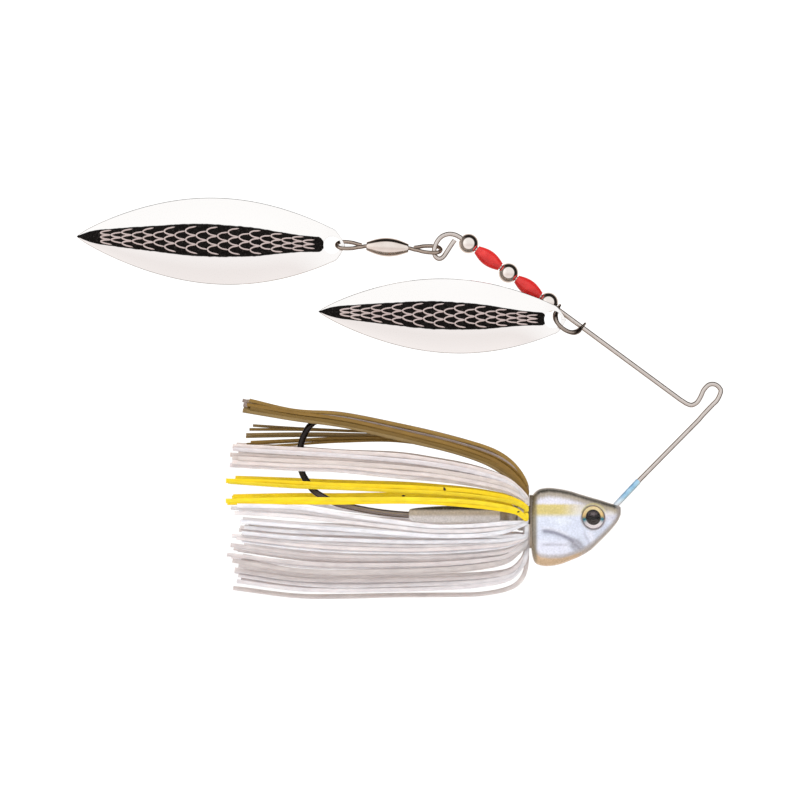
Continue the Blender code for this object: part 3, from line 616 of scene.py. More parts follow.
EYE_Y = half_at(EYE_X, EYE_Z)
dx = (half_at(EYE_X + 1, EYE_Z) - half_at(EYE_X - 1, EYE_Z)) / 2
dz = (half_at(EYE_X, EYE_Z + 1) - half_at(EYE_X, EYE_Z - 1)) / 2
eyes = []
for side, sy in (("left", 1), ("right", -1)):
    nrm = Vector((-dx, sy, -dz)).normalized()
    c = Vector((EYE_X, sy * EYE_Y, EYE_Z))
    cut(head, turned("seat", [(0, -0.75), (2.62, -0.75), (2.68, 0.1), (2.68, 2.2), (0, 2.2)], c, nrm, 64))
    eyes.append((side, c, nrm))
me = head.data
co = np.zeros(len(me.vertices) * 3, np.float32)
me.vertices.foreach_get("co", co)
co = co.reshape(-1, 3) * 1000
rng = np.random.default_rng(5)


def step(a, b, t):
    t = np.clip((t - a) / (b - a), 0, 1)
    return t * t * (3 - 2 * t)


def lay(base_c, color, amount):
    return base_c * (1 - amount[:, None]) + np.array(color)[None, :] * amount[:, None]


X, Y, Z = co[:, 0], co[:, 1], co[:, 2]
rows_x = [r[0] for r in HEAD]
foot = np.interp(X, rows_x, [r[2] for r in HEAD])
crown = np.interp(X, rows_x, [r[1] for r in HEAD])
top_line = crown
below = top_line - Z
wav = 0.1 * np.sin(X * 5.1) * np.sin(X * 2.3 + 1) + 0.08 * np.sin(X * 11.3)
soft = lambda d, w_: np.exp(-((d / w_) ** 2))
tint = np.tile(np.array([0.66, 0.70, 0.82]), (len(X), 1))
tint = lay(tint, (0.78, 0.79, 0.90), step(-31.2, -33.4, Z) * step(-30.0, -32.0, X) * 0.9)
tint = lay(tint, (0.80, 0.84, 0.90), soft(X + 32.5, 1.9) * soft(Z + 28.2, 0.7) * 0.8)
# moulded cheek and gill lines: painted shade darkens the grooves, with a painted highlight along the upper lip of the
# cheek groove
cheek = Z + 30.3 + 0.047 * (X + 37.1) ** 2
tint = lay(tint, (0.21, 0.21, 0.28), soft(cheek, 0.55) * step(-37.4, -36.4, X) * step(-29.4, -30.8, X) * 0.95)
tint = lay(tint, (0.80, 0.80, 0.88), soft(cheek - 0.75, 0.35) * step(-37.6, -36.6, X) * step(-30.6, -32.0, X) * 0.6)
tint = lay(tint, (0.5, 0.49, 0.57), soft(Z + 33.25, 0.3) * step(-37.4, -36.4, X) * step(-30.6, -32.4, X) * 0.85)
# a darker grey, streaky patch low on the gill plate
patch = np.exp(-(np.hypot((X + 29.6) / 1.75, (Z + 33.3 + 0.35 * (X + 29.6)) / 1.45) ** 4))
streak = 0.72 + 0.28 * np.sin((X * 0.9 + Z) * 5.2)
tint = lay(tint, (0.25, 0.235, 0.27), patch * (0.55 + 0.45 * streak) * 0.88)
# painted shade, then a painted highlight just forward of it, along the gill plate's edge
tint = lay(tint, (0.42, 0.42, 0.52), soft(X + 27.6 + 0.55 * (Z + 31.5), 0.36) * step(-35.0, -34.2, Z) * step(-30.2, -31.2, Z) * 0.6)
tint = lay(tint, (0.84, 0.84, 0.92), soft(X + 26.4 + 0.45 * (Z + 31.5), 0.7) * step(-34.6, -33.8, Z) * step(-29.9, -30.9, Z) * 0.6)
# pale shoulder, yellow stripe, tan edge and dark back
tint = lay(tint, (0.70, 0.69, 0.78), step(4.2, 3.4, below))
yel = step(-24.35, -24.9, Z + wav * 0.5) * step(-27.6, -26.4, Z) * (0.25 + 0.75 * step(-27.5, -33.5, X))
tint = lay(tint, (0.62, 0.49, 0.11), np.clip(yel, 0, 1) * 0.92)
tint = lay(tint, (0.36, 0.29, 0.18), step(2.3, 1.2, below + wav) * 0.78)
tint = lay(tint, (0.06, 0.056, 0.045), step(1.15, 0.4, below + wav * 0.6))
# belly and edges
rim = np.interp(X, [-38.0, -35.0, -32.0, -28.5, -26.0, -24.0, -21.0], [2.2, 2.1, 1.65, 1.3, 1.25, 1.2, 1.1])
tint = lay(tint, (0.47, 0.42, 0.40), step(rim + 1.0, rim + 0.1, Z - foot) * 0.85)
tint = lay(tint, (0.64, 0.44, 0.26), step(rim + 0.15, rim - 0.55, Z - foot) * step(-26.2, -29.5, X) * 0.95)
tint = lay(tint, (0.40, 0.35, 0.30), step(rim + 0.2, rim - 0.6, Z - foot) * step(-29.5, -26.5, X) * 0.9)
tint = lay(tint, (0.38, 0.33, 0.30), step(-21.2, -20.3, X) * step(-24.6, -25.4, Z) * 0.8)
tint = lay(tint, (0.21, 0.17, 0.10), step(-37.6, -38.45, X) * 0.9)
ring_d = np.hypot(X - EYE_X, Z - EYE_Z)
tint = lay(tint, (0.55, 0.48, 0.16), soft(ring_d - 2.78, 0.2) * step(-27.0, -25.8, Z) * 0.7)
tint = lay(tint, (0.38, 0.30, 0.28), soft(ring_d - 2.7, 0.16) * step(-26.6, -27.8, Z) * 0.6)
at = me.color_attributes.new("tint", "FLOAT_COLOR", "POINT")
at.data.foreach_set("color", np.hstack([tint, np.ones((len(X), 1))]).astype(np.float32).ravel())
me.materials.clear()
me.materials.append(HEADP)
me.polygons.foreach_set("use_smooth", [True] * len(me.polygons))
crisp(head, 40)

KEEP = [(0, 1.9), (2.0, 1.9), (COLLAR_R, 1.2), (COLLAR_R, 0.5), (2.0, 0.2), (2.0, -2.6), (COLLAR_R, -2.8), (COLLAR_R, -3.1), (1.75, -3.4), (1.2, -3.7), (1.18, -4.8), (1.2, -6.0),
        (1.28, -6.06), (1.36, -6.3), (1.62, -9.5), (1.8, -12.0), (1.9, -14.0), (1.94, -16.0), (1.94, -17.5), (1.86, -19.6), (1.7, -21.8), (1.55, -23.6), (1.42, -24.6), (1.28, -25.3), (1.1, -25.6), (0.72, -25.72), (0, -25.72)]
keeper = turned("vis_keeper", KEEP, (-39.6, 0, AXIS_Z), (1, 0, 0), 64, [HEADP], angle=50)
kme = keeper.data
kc = np.zeros(len(kme.vertices) * 3, np.float32)
kme.vertices.foreach_get("co", kc)
kc = kc.reshape(-1, 3) * 1000
up = (kc[:, 2] - AXIS_Z) / 1.9
kt = np.tile(np.array([0.62, 0.53, 0.42]), (len(kc), 1))
kt = lay(kt, (1.0, 0.96, 0.93), step(0.15, -0.25, up))
kt = lay(kt, (0.6, 0.5, 0.42), step(-0.7, -0.95, up) * 0.7)
kt = lay(kt, (0.05, 0.042, 0.02), step(0.42, 0.74, up))
kt = lay(kt, (0.24, 0.18, 0.1), step(-45.9, -45.5, kc[:, 0]) * step(-43.0, -43.6, kc[:, 0]))
kt = lay(kt, (0.42, 0.35, 0.27), step(-43.4, -43.2, kc[:, 0]))
at = kme.color_attributes.new("tint", "FLOAT_COLOR", "POINT")
at.data.foreach_set("color", np.hstack([kt, np.ones((len(kc), 1))]).astype(np.float32).ravel())
# rear step: a dark brown flange at the head's rear filling the gap to the skirt roots, darkest at the top; partly the
# head's dark rear paint, partly painted shade for the shadowed skirt roots in that gap
sv, sf, st, ns = [], [], [], 96
for x, k in ((-38.5, 1.0), (-39.28, 1.0), (-39.36, 0.985), (-39.36, 0.42)):
    for j in range(ns):
        a = 2 * math.pi * j / ns
        sv.append((x, 2.9 * k * math.sin(a), -28.55 + 5.75 * k * math.cos(a)))
        g = 0.5 - 0.5 * math.cos(a)
        st.append(tuple(np.array((0.13, 0.1, 0.06)) * (1 - g) + np.array((0.5, 0.4, 0.31)) * g))
for i in range(3):
    for j in range(ns):
        a, b = i * ns + j, i * ns + (j + 1) % ns
        sf.append((a, b, b + ns, a + ns))
for i, x in ((0, -38.5), (3, -39.36)):
    sf.append(tuple(i * ns + j for j in range(ns)))
rear = fix_normals(make("rear_step", sv, sf, tints=st, mats=[HEADP]))
crisp(rear, 40)
head = join("vis_head_casting", [head, keeper, rear])
done(head, "lure_frame", ["head_casting"])

# ---------------------------------------------------------------- eyes
for side, c, nrm in eyes:
    q = Vector((0, 0, 1)).rotation_difference(nrm)
    upv = Vector((0, 0, 1))
    upv = (upv - nrm * upv.dot(nrm)).normalized()
    sd = nrm.cross(upv)
    radii = [0.0, 0.2, 0.4, 0.6, 0.75, 0.9, 1.05, 1.2, 1.35, 1.48, 1.58, 1.66, 1.74, 1.85, 1.96, 2.08, 2.18, 2.24, 2.3, 2.36, 2.42, 2.5]
    verts, faces, tints, n = [], [], [], 96
    for r in radii:
        for k in range(n):
            a = 2 * math.pi * k / n
            ht = -0.2 - 0.1 * bump_at(r - 1.4, 0.25) + 0.05 * bump_at(r - 2.1, 0.2)
            verts.append(c + nrm * ht + upv * (r * math.cos(a)) + sd * (r * math.sin(a)))
            v, h = math.cos(a), abs(math.sin(a))
            if r < 1.62:
                px_, pz_ = r * math.sin(a), r * math.cos(a)
                # painted reflection: a soft grey spot in the upper pupil, the clear lens mirrored over it
                lens_reflection_spot = bump_at(math.hypot(px_ / 0.75, (pz_ - 0.75) / 0.42), 1.0) * 0.16
                base_ = 0.05 if pz_ < -0.45 else 0.006
                col = (base_ + lens_reflection_spot, base_ * 0.8 + lens_reflection_spot * 0.8, base_ * 0.75 + lens_reflection_spot * 0.85)
            elif r < 2.26:
                top_c, gold_c, low_c = np.array((0.98, 0.78, 0.42)), np.array((0.93, 0.56, 0.16)), np.array((0.93, 0.84, 0.85))
                k_ = max(0.0, min(1.0, (v + 0.05) / 0.75))
                col = gold_c * (1 - k_) + top_c * k_ if v > -0.2 else low_c
                teal = bump_at(v + 0.2, 0.27) * (h > 0.5)
                col = col * (1 - teal) + np.array((0.0, 0.2, 0.27)) * teal
                col = tuple(col * (0.93 + 0.07 * math.sin(a * 31 + r * 9)))
            elif r < 2.4:
                col = (0.25, 0.15, 0.09) if v > -0.2 else (0.42, 0.34, 0.38)
            else:
                col = (0.42, 0.34, 0.13) if v > 0 else (0.45, 0.40, 0.44)
            tints.append(col)
    for i in range(len(radii) - 1):
        for k in range(n):
            a, b = i * n + k, i * n + (k + 1) % n
            faces.append((a, b, b + n, a + n) if i else (a, b + n, a + n))
    base_i = len(verts)
    for k in range(n):
        a = 2 * math.pi * k / n
        verts.append(c + nrm * -0.62 + upv * (2.45 * math.cos(a)) + sd * (2.45 * math.sin(a)))
        tints.append((0.2, 0.2, 0.2))
    last = (len(radii) - 1) * n
    for k in range(n):
        faces.append((last + k, last + (k + 1) % n, base_i + (k + 1) % n, base_i + k))
    faces.append(tuple(base_i + k for k in range(n)))
    iris = fix_normals(make("vis_eye_iris_" + side, verts, faces, tints=tints, mats=[IRIS]))
    crisp(iris, 50)
    done(iris, "lure_frame", ["eye_iris_" + side])
    prof = [(0, -0.12), (2.3, -0.12), (2.46, -0.06), (2.5, 0.05)] + [(2.5 * math.cos(t), 0.05 + 0.74 * math.sin(t)) for t in [math.radians(x) for x in range(8, 90, 8)]] + [(0, 0.79)]
    lens = turned("vis_eye_lens_" + side, prof, c, nrm, 72, [LENS], angle=70)
    done(lens, "lure_frame", ["eye_lens_" + side])

# ---------------------------------------------------------------- hook
eye_pts = []
for k in range(36):
    a = math.radians(158 - k * 21.5 * 14 / 35)
    eye_pts.append(Vector((RING[0] + 1.62 * math.cos(a), 0.0, RING[1] + 1.62 * math.sin(a))))
back = list(reversed(eye_pts))
shank = spline([K(-28.95, -27.35), K(-30.4, -27.05), K(-34.0, AXIS_Z)], 4)
bend = spline(
    [K(-62.0, AXIS_Z), K(-65.3, AXIS_Z), K(-69.35, -26.78), K(-73.65, -26.2), K(-77.95, -25.35), K(-81.2, -24.5), K(-83.35, -23.45), K(-85.7, -21.95),
     K(-87.0, -20.2), K(-88.05, -18.5), K(-88.7, -16.35), K(-88.7, -14.2), K(-88.5, -12.05), K(-87.85, -10.1), K(-86.75, -8.15), K(-85.25, -7.08),
     K(-82.8, -6.6), K(-79.6, -6.55), K(-76.7, -6.5)], 5)
P = back[:-1] + shank + bend
rad = [HOOK_R] * len(P)
taper = 26
for i in range(taper):
    t = i / (taper - 1)
    rad[len(P) - 1 - i] = HOOK_R * (0.05 + 0.95 * min(1, t * 1.25) ** 0.8)
hook = tube_obj("vis_hook", P, rad, 22, HOOKM)
# the barb: a thin wedge lifted from the inner side of the point
bv = [(-81.4, 0, -7.1), (-79.0, 0, -8.25), (-79.4, 0.28, -7.0), (-79.4, -0.28, -7.0), (-78.4, 0, -7.0)]
barb = make("barb", bv, [(0, 1, 2), (0, 3, 1), (1, 4, 2), (1, 3, 4), (0, 2, 4, 3)], uvs=[(0, 0)] * 5, mats=[HOOKM], smooth=False)
hook = join("vis_hook", [hook, barb])
done(hook, "lure_frame", ["hook"])

# ---------------------------------------------------------------- skirt band and strands
band = turned("vis_skirt_band", [(2.42, -0.95), (3.1, -0.98), (3.32, -0.8), (3.4, -0.5), (3.36, -0.2), (3.4, 0.1), (3.4, 0.5), (3.32, 0.8), (3.1, 0.98), (2.42, 0.95)],
              (-41.0, 0, AXIS_Z), (1, 0, 0), 64, [RUBBER], angle=50)
done(band, "lure_frame", ["skirt_band"])


def ribbon(P, W, width, thick, sides=10):
    """A flat strand with rounded edges: P the path, W the wide direction at each point."""
    verts, uvs, faces = [], [], []
    n = len(P)
    run = 0.0
    for i, p in enumerate(P):
        if i:
            run += (P[i] - P[i - 1]).length
        t = (P[min(i + 1, n - 1)] - P[max(i - 1, 0)]).normalized()
        w = (W[i] - t * W[i].dot(t)).normalized()
        b = t.cross(w)
        wd = width[i] if isinstance(width, list) else width
        for k in range(sides):
            a = 2 * math.pi * k / sides
            x = math.copysign(abs(math.cos(a)) ** 0.6, math.cos(a)) * wd / 2
            y = math.copysign(abs(math.sin(a)) ** 0.8, math.sin(a)) * thick / 2
            verts.append(p + w * x + b * y)
            uvs.append((run / 10, 0.5 + 0.5 * math.cos(a)))
    for i in range(n - 1):
        for k in range(sides):
            a, b = i * sides + k, i * sides + (k + 1) % sides
            faces.append((a, b, b + sides, a + sides))
    faces.append(tuple(range(sides)))
    faces.append(tuple((n - 1) * sides + k for k in range(sides)))
    return verts, faces, uvs


def bundle(name, mat, side, root_deg, pts, y_mid, y_end, thick, count, colors, seed, width=0.98, ends=2.0, fan=1.0, root=0.2, over=0.0, shift=0.0):
    """The strands of one bundle, joined in one mesh; the same rule as the CAD solid they stand for."""
    rnd = random.Random(seed)
    a = math.radians(root_deg)
    verts, faces, uvs, tints = [], [], [], []
    for j in range(count):
        f = (j + 0.5) / count if count > 1 else 0.5
        f += rnd.uniform(-0.28, 0.28) / max(count, 2)
        lay_y = ((j % 2) - 0.5) * 0.9 + rnd.uniform(-0.3, 0.3)
        tail_f = 0.5 + (f - 0.5) * fan + rnd.uniform(-0.12, 0.12)
        aj = a + (f - 0.5) * root
        sgn = side or 1
        ry = math.sin(aj) * 3.75 * sgn
        rz = AXIS_Z + math.cos(aj) * 3.75
        knots = [Vector((-40.7, math.sin(aj) * 3.42 * sgn, AXIS_Z + math.cos(aj) * 3.42)), Vector((-40.25, ry, rz))]
        base_y = abs(math.sin(a) * 3.95)
        for i, (x, top, bot) in enumerate(pts):
            t = min(1.0, (-42.0 - x) / 22.0) if x < -42 else 0.0
            e = max(0.0, (-64.0 - x) / 41.0)
            y = side * (base_y + (y_mid - base_y) * math.sin(t * math.pi / 2) + (y_end - y_mid) * e)
            grow = 0.35 + 0.65 * min(1.0, (-40.2 - x) / 9.0)
            s = i / (len(pts) - 1)
            ff = f + (tail_f - f) * s * s
            h = top - bot
            room = max(0.0, h - width * 0.45) + over * min(1.0, i / 2)
            z = (top + bot) / 2 + (0.5 - ff) * room + rnd.uniform(-0.08, 0.08) * min(1, i / 3)
            z += shift * (0.0, 0.4, 0.9, 1.0, 1.0, 0.7, 0.25, 0.0, 0.0)[min(i, 8)]
            y += lay_y * thick * 0.62 * grow + rnd.uniform(-0.1, 0.1) * min(1, i / 3)
            if i == len(pts) - 1:
                x = x - rnd.uniform(-ends, 0.25)
            knots.append(Vector((x, y, z)))
        P = spline(knots, 7)
        twist0 = rnd.uniform(-0.35, 0.35)
        twist1 = rnd.uniform(-0.7, 0.7)
        W, wd = [], []
        n = len(P)
        for i in range(n):
            t = (P[min(i + 1, n - 1)] - P[max(i - 1, 0)]).normalized()
            nrm = Vector((-t.z, 0, t.x))
            s = i / (n - 1)
            tw = (twist0 + (twist1 - twist0) * s) * min(1.0, s * 3)
            near_root = max(0.0, 1 - s * 7)
            across = Vector((0, 1, 0)) if side == 0 or root_deg < 20 or root_deg > 165 else Vector((0, 0, 1)) * 0.6 + Vector((0, 1, 0)) * 0.4
            w = nrm * math.cos(tw) + Vector((0, 1, 0)) * math.sin(tw)
            if near_root > 0:
                tang = Vector((0, math.cos(aj) * sgn, -math.sin(aj)))
                w = w * (1 - near_root) + tang * near_root
            W.append(w)
            wd.append(width * (0.72 + 0.28 * min(1, s * 6)) * (1 + 0.05 * math.sin(s * 21 + j)))
        v, fc, u = ribbon(P, W, wd, 0.3)
        off = len(verts)
        verts += v
        faces += [tuple(q + off for q in g) for g in fc]
        uvs += [(p[0] + j * 3.7 + seed, p[1] + j * 0.37) for p in u]
        col = np.array(colors[rnd.randrange(len(colors))]) * rnd.uniform(0.93, 1.05)
        tints += [tuple(col)] * len(v)
    o = make("vis_" + name, verts, faces, uvs=uvs, tints=tints, mats=[mat])
    fix_normals(o)
    crisp(o, 60)
    return done(o, "lure_frame", [name])


OL = [(0.235, 0.13, 0.022), (0.29, 0.17, 0.035), (0.2, 0.115, 0.02), (0.26, 0.17, 0.06)]
# the olive tints and two grey-lavender ones; the grey-lavender strands are painted sheen running along whole crest
# strands
OLIVE_AND_SHEEN = OL + [(0.36, 0.28, 0.24), (0.33, 0.25, 0.17)]
PE = [(0.72, 0.63, 0.59), (0.76, 0.68, 0.65), (0.78, 0.73, 0.74), (0.7, 0.62, 0.58)]
YE = [(0.93, 0.66, 0.004), (0.95, 0.72, 0.02), (0.9, 0.6, 0.002)]
WH = [(0.76, 0.72, 0.72), (0.82, 0.80, 0.82), (0.74, 0.68, 0.67), (0.86, 0.85, 0.88)]
# the white tints a shade darker: painted shade for the lower, belly and keel bundles under the skirt
WHITE_SHADED = [(0.70, 0.64, 0.63), (0.74, 0.68, 0.67), (0.66, 0.6, 0.58), (0.78, 0.74, 0.75)]
for side, tag in ((-1, "near"), (1, "far")):
    sd = 0 if side < 0 else 50
    bundle("skirt_crest_" + tag, SIL_OLIVE, side, 11,
           [(-40.0, -20.6, -22.2), (-41.6, -17.4, -19.2), (-44.6, -14.4, -16.6), (-49.0, -12.2, -14.4), (-57.0, -9.9, -12.0), (-68.0, -7.4, -9.6),
            (-80.0, -5.0, -7.2), (-90.0, -4.4, -6.5), (-101.0, -2.2, -4.3)], 2.4, 2.4, 1.15, 8, OLIVE_AND_SHEEN, 11 + sd, 0.9, 1.6, 1.25)
    low = side > 0
    bundle("skirt_olive_" + tag, SIL_OLIVE, side, 30,
           [(-40.1, -21.9, -23.2), (-41.9, -19.4, -20.9), (-45.2, -16.9, -18.5), (-49.5, -14.75, -16.2), (-57.0, -12.3, -13.6), (-68.0, -9.9, -11.7),
            (-80.0, -8.9, -11.6), (-90.0, -8.2, -12.1), (-100.5, -7.7, -12.9)] if low else
           [(-40.1, -21.9, -23.2), (-41.9, -19.4, -20.9), (-45.2, -16.9, -18.5), (-49.5, -14.75, -16.2), (-57.0, -12.3, -13.6), (-68.0, -9.3, -10.9),
            (-79.0, -6.7, -8.2), (-90.0, -5.0, -6.5), (-100.6, -3.3, -4.8)], 5.0, 5.4, 1.0, 7 if low else 7, OL, 12 + sd, 0.6 if low else 0.85, 1.6, 1.0, 0.3, 0.6, 0.55)
    bundle("skirt_pearl_" + tag, SIL_PEARL, side, 50,
           [(-40.2, -23.0, -24.4), (-42.0, -20.9, -23.3), (-45.2, -18.6, -22.0), (-52.0, -16.3, -20.6), (-60.0, -14.8, -19.4), (-68.0, -13.7, -18.7),
            (-80.0, -13.1, -17.4), (-90.0, -12.4, -17.0), (-103.0, -11.9, -16.2)], 8.3, 8.0, 0.85, 8, PE, 13 + sd, 1.0, 3.0, 1.15, 0.36)
    bundle("skirt_yellow_upper_" + tag, SIL_YELLOW, side, 70,
           [(-40.3, -24.9, -25.9), (-42.2, -23.7, -24.9), (-45.6, -22.7, -24.1), (-52.0, -21.5, -23.2), (-60.0, -20.9, -22.4), (-68.0, -20.4, -22.1),
            (-80.0, -20.0, -21.6), (-90.0, -19.6, -21.1), (-104.0, -19.1, -20.2)], 9.6, 9.2, 0.6, 3, YE, 14 + sd, 0.95, 0.8, 0.8, 0.32, 0.3)
    bundle("skirt_yellow_lower_" + tag, SIL_YELLOW, side, 88,
           [(-40.4, -27.2, -28.0), (-42.3, -25.6, -26.6), (-45.8, -24.7, -25.8), (-52.0, -23.7, -24.9), (-60.0, -23.1, -24.2), (-68.0, -22.9, -24.0),
            (-80.0, -22.9, -24.1), (-90.0, -23.0, -24.1), (-104.0, -23.3, -24.2)], 10.0, 9.6, 0.6, 3, YE, 15 + sd, 0.95, 0.5, 0.8, 0.34, 0.35)
    bundle("skirt_side_" + tag, SIL_WHITE, side, 104,
           [(-40.4, -28.2, -28.9), (-42.3, -28.2, -29.4), (-45.8, -28.1, -30.1), (-52.0, -28.3, -30.6), (-60.0, -28.3, -30.5), (-68.0, -27.6, -30.2),
            (-80.0, -26.3, -29.6), (-90.0, -25.0, -29.2), (-103.0, -24.7, -28.2)], 10.4, 10.0, 0.65, 5, WH, 16 + sd, 0.9, 3.0, 1.1, 0.34, 0.7, -0.6)
    bundle("skirt_flank_" + tag, SIL_WHITE, side, 125,
           [(-40.3, -31.0, -31.9), (-42.2, -31.3, -33.0), (-45.6, -31.55, -33.8), (-52.0, -31.1, -34.4), (-60.0, -31.0, -34.8), (-68.0, -30.7, -34.9),
            (-80.0, -30.3, -34.5), (-90.0, -29.9, -33.8), (-103.0, -29.0, -32.3)], 9.7, 9.4, 0.75, 6, WH, 17 + sd, 0.88, 3.5, 1.15, 0.44, 0.9, 0.1)
    bundle("skirt_lower_" + tag, SIL_WHITE, side, 144,
           [(-40.2, -32.3, -33.4), (-41.9, -33.3, -35.4), (-45.0, -34.5, -37.6), (-52.0, -35.0, -38.9), (-60.0, -35.2, -39.4), (-68.0, -35.3, -39.6),
            (-80.0, -35.2, -39.8), (-90.0, -34.4, -39.3), (-104.0, -32.8, -37.3)], 7.9, 7.6, 0.95, 6, WHITE_SHADED, 18 + sd, 0.98, 3.5, 1.0, 0.36)
    bundle("skirt_belly_" + tag, SIL_WHITE, side, 160,
           [(-40.0, -34.0, -35.3), (-41.3, -36.9, -38.7), (-44.4, -38.9, -41.4), (-52.0, -39.7, -42.6), (-60.0, -39.9, -43.1), (-68.0, -40.0, -43.4),
            (-80.0, -40.2, -43.6), (-90.0, -39.8, -43.1), (-103.0, -37.9, -41.6)], 4.7, 4.7, 1.15, 5, WHITE_SHADED, 19 + sd, 0.95, 3.0, 1.0, 0.3)
bundle("skirt_keel", SIL_WHITE, 0, 180,
       [(-39.9, -36.0, -37.2), (-40.9, -40.2, -41.0), (-43.8, -42.6, -43.3), (-50.0, -43.7, -44.5), (-58.0, -43.8, -44.8), (-68.0, -43.9, -44.8),
        (-80.0, -44.2, -45.1), (-90.0, -44.0, -44.8), (-103.0, -42.5, -43.1)], 0, 0, 1.6, 2, WHITE_SHADED, 90, 0.9, 1.0)

# ---------------------------------------------------------------- beads
for i in range(3):
    s = BEAD3_S + i * 2 * BEAD_PITCH
    a0 = math.asin(BEAD_BORE_R / BEAD_R)
    prof = [(BEAD_BORE_R, -BEAD_R * math.cos(a0) + 0.12)]
    for k in range(28):
        a = a0 + 0.05 + (math.pi - 2 * a0 - 0.1) * k / 27
        prof.append((BEAD_R * math.sin(a), -BEAD_R * math.cos(a)))
    prof.append((BEAD_BORE_R, BEAD_R * math.cos(a0) - 0.12))
    b = turned(f"vis_bead_metal_{3 - i}", prof, on_arm(s), UP, 56, [BEADM], angle=50)
    done(b, ["arm_bead", "bead_mid", "bead_top"][i], [f"bead_metal_{3 - i}"])
for i in range(2):
    s = BEAD3_S + (2 * i + 1) * BEAD_PITCH
    prof = [(BEAD_BORE_R, -RED_HALF + 0.05)]
    for k in range(25):
        h = -RED_HALF + 2 * RED_HALF * k / 24
        prof.append((0.92 + (RED_R - 0.92) * max(0.0, 1 - (h / RED_HALF) ** 2) ** 1.15, h))
    prof.append((BEAD_BORE_R, RED_HALF - 0.05))
    b = turned(f"vis_bead_red_{2 - i}", prof, on_arm(s), UP, 48, [RED], angle=50)
    done(b, ["red_low", "red_top"][i], [f"bead_red_{2 - i}"])

# ---------------------------------------------------------------- clevis
C0 = on_arm(CLEVIS_S)
T = math.radians(CLEVIS_TURN)
SDIR = -UP
RHO = OUT * math.cos(T) + Vector((0, -math.sin(T), 0))
BIN = SDIR.cross(RHO).normalized()
U = spline([(-3.42, -1.35, 0), (-3.3, -0.4, 0), (-3.2, 0.7, 0), (-2.95, 2.3, 0), (-2.3, 3.62, 0), (-1.3, 4.45, 0), (0, 4.74, 0),
            (1.3, 4.45, 0), (2.3, 3.62, 0), (2.95, 2.3, 0), (3.2, 0.7, 0), (3.3, -0.4, 0), (3.42, -1.35, 0)], 8)
verts, faces, uvs, n = [], [], [], 20
run = 0
for i, p in enumerate(U):
    d = (U[min(i + 1, len(U) - 1)] - U[max(i - 1, 0)]).normalized()
    nrm = Vector((-d.y, d.x, 0))
    ear = max(0.0, min(1.0, (2.0 - p.y) / 2.2))
    ear = ear * ear * (3 - 2 * ear)
    hw = (CLEVIS_W / 2) * (1 - ear) + 1.15 * ear
    ht = (CLEVIS_W / 2 + 0.1) * (1 - ear) + (CLEVIS_T / 2) * ear
    hang = max(0.0, min(1.0, (p.y - 3.3) / 1.0))
    ht -= 0.1 * hang * (1 - ear)
    hw += 0.16 * (1 - ear) * (1 - hang)
    if p.y < -0.2:
        hw = 1.15 * math.sqrt(max(0.12, 1 - ((-0.2 - p.y) / 1.2) ** 2))
    run += 0.3
    for k in range(n):
        b = 2 * math.pi * k / n
        e = 1 - 0.45 * ear
        cb, sb = math.cos(b), math.sin(b)
        q = p + nrm * (ht * math.copysign(abs(cb) ** e, cb))
        verts.append(C0 + SDIR * q.x + RHO * q.y + BIN * (hw * math.copysign(abs(sb) ** e, sb)))
        uvs.append((run / 10, k / n))
for i in range(len(U) - 1):
    for k in range(n):
        a, b = i * n + k, i * n + (k + 1) % n
        faces.append((a, b, b + n, a + n))
faces.append(tuple(range(n)))
faces.append(tuple((len(U) - 1) * n + k for k in range(n)))
clevis = fix_normals(make("vis_clevis", verts, faces, uvs=uvs, mats=[CLEVM]))
cut(clevis, turned("bore", [(0, -6), (WIRE_R + 0.14, -6), (WIRE_R + 0.14, 6), (0, 6)], C0, UP, 32))
clevis.data.polygons.foreach_set("use_smooth", [True] * len(clevis.data.polygons))
crisp(clevis, 42)
done(clevis, "stirrup", ["clevis"])


# ---------------------------------------------------------------- blades
def willow(t):
    grow = math.sin(math.pi * min(1, max(0, t * 0.952 + 0.048)) ** 0.985) ** 0.80
    return grow * (1 - 0.02 * t)


LENS_U = [0.0, 0.076, 0.08, 0.086, 0.095, 0.168, 0.243, 0.32, 0.39, 0.47, 0.54, 0.61, 0.69, 0.77, 0.84, 0.914, 0.95, 0.975, 0.99, 1.2]
LENS_H = [0.001, 0.001, 0.08, 0.135, 0.172, 0.193, 0.25, 0.318, 0.352, 0.372, 0.375, 0.352, 0.305, 0.262, 0.216, 0.17, 0.125, 0.07, 0.03, 0.02]


def surf(u, v, length, half):
    """Half width and bow of the plate at u along and v across."""
    if u < 0.05:
        w_ = willow(0.05) * half * max(0.05, 1 - (1 - u / 0.05) ** 1.7)
    else:
        w_ = max(0.10, willow(u) * half)
    ease = min(1.0, max(0.0, (u - 0.045) / 0.2))
    return w_, DISH * (1 - v * v) * ease * ease * (3 - 2 * ease) * (w_ / half) ** 0.8


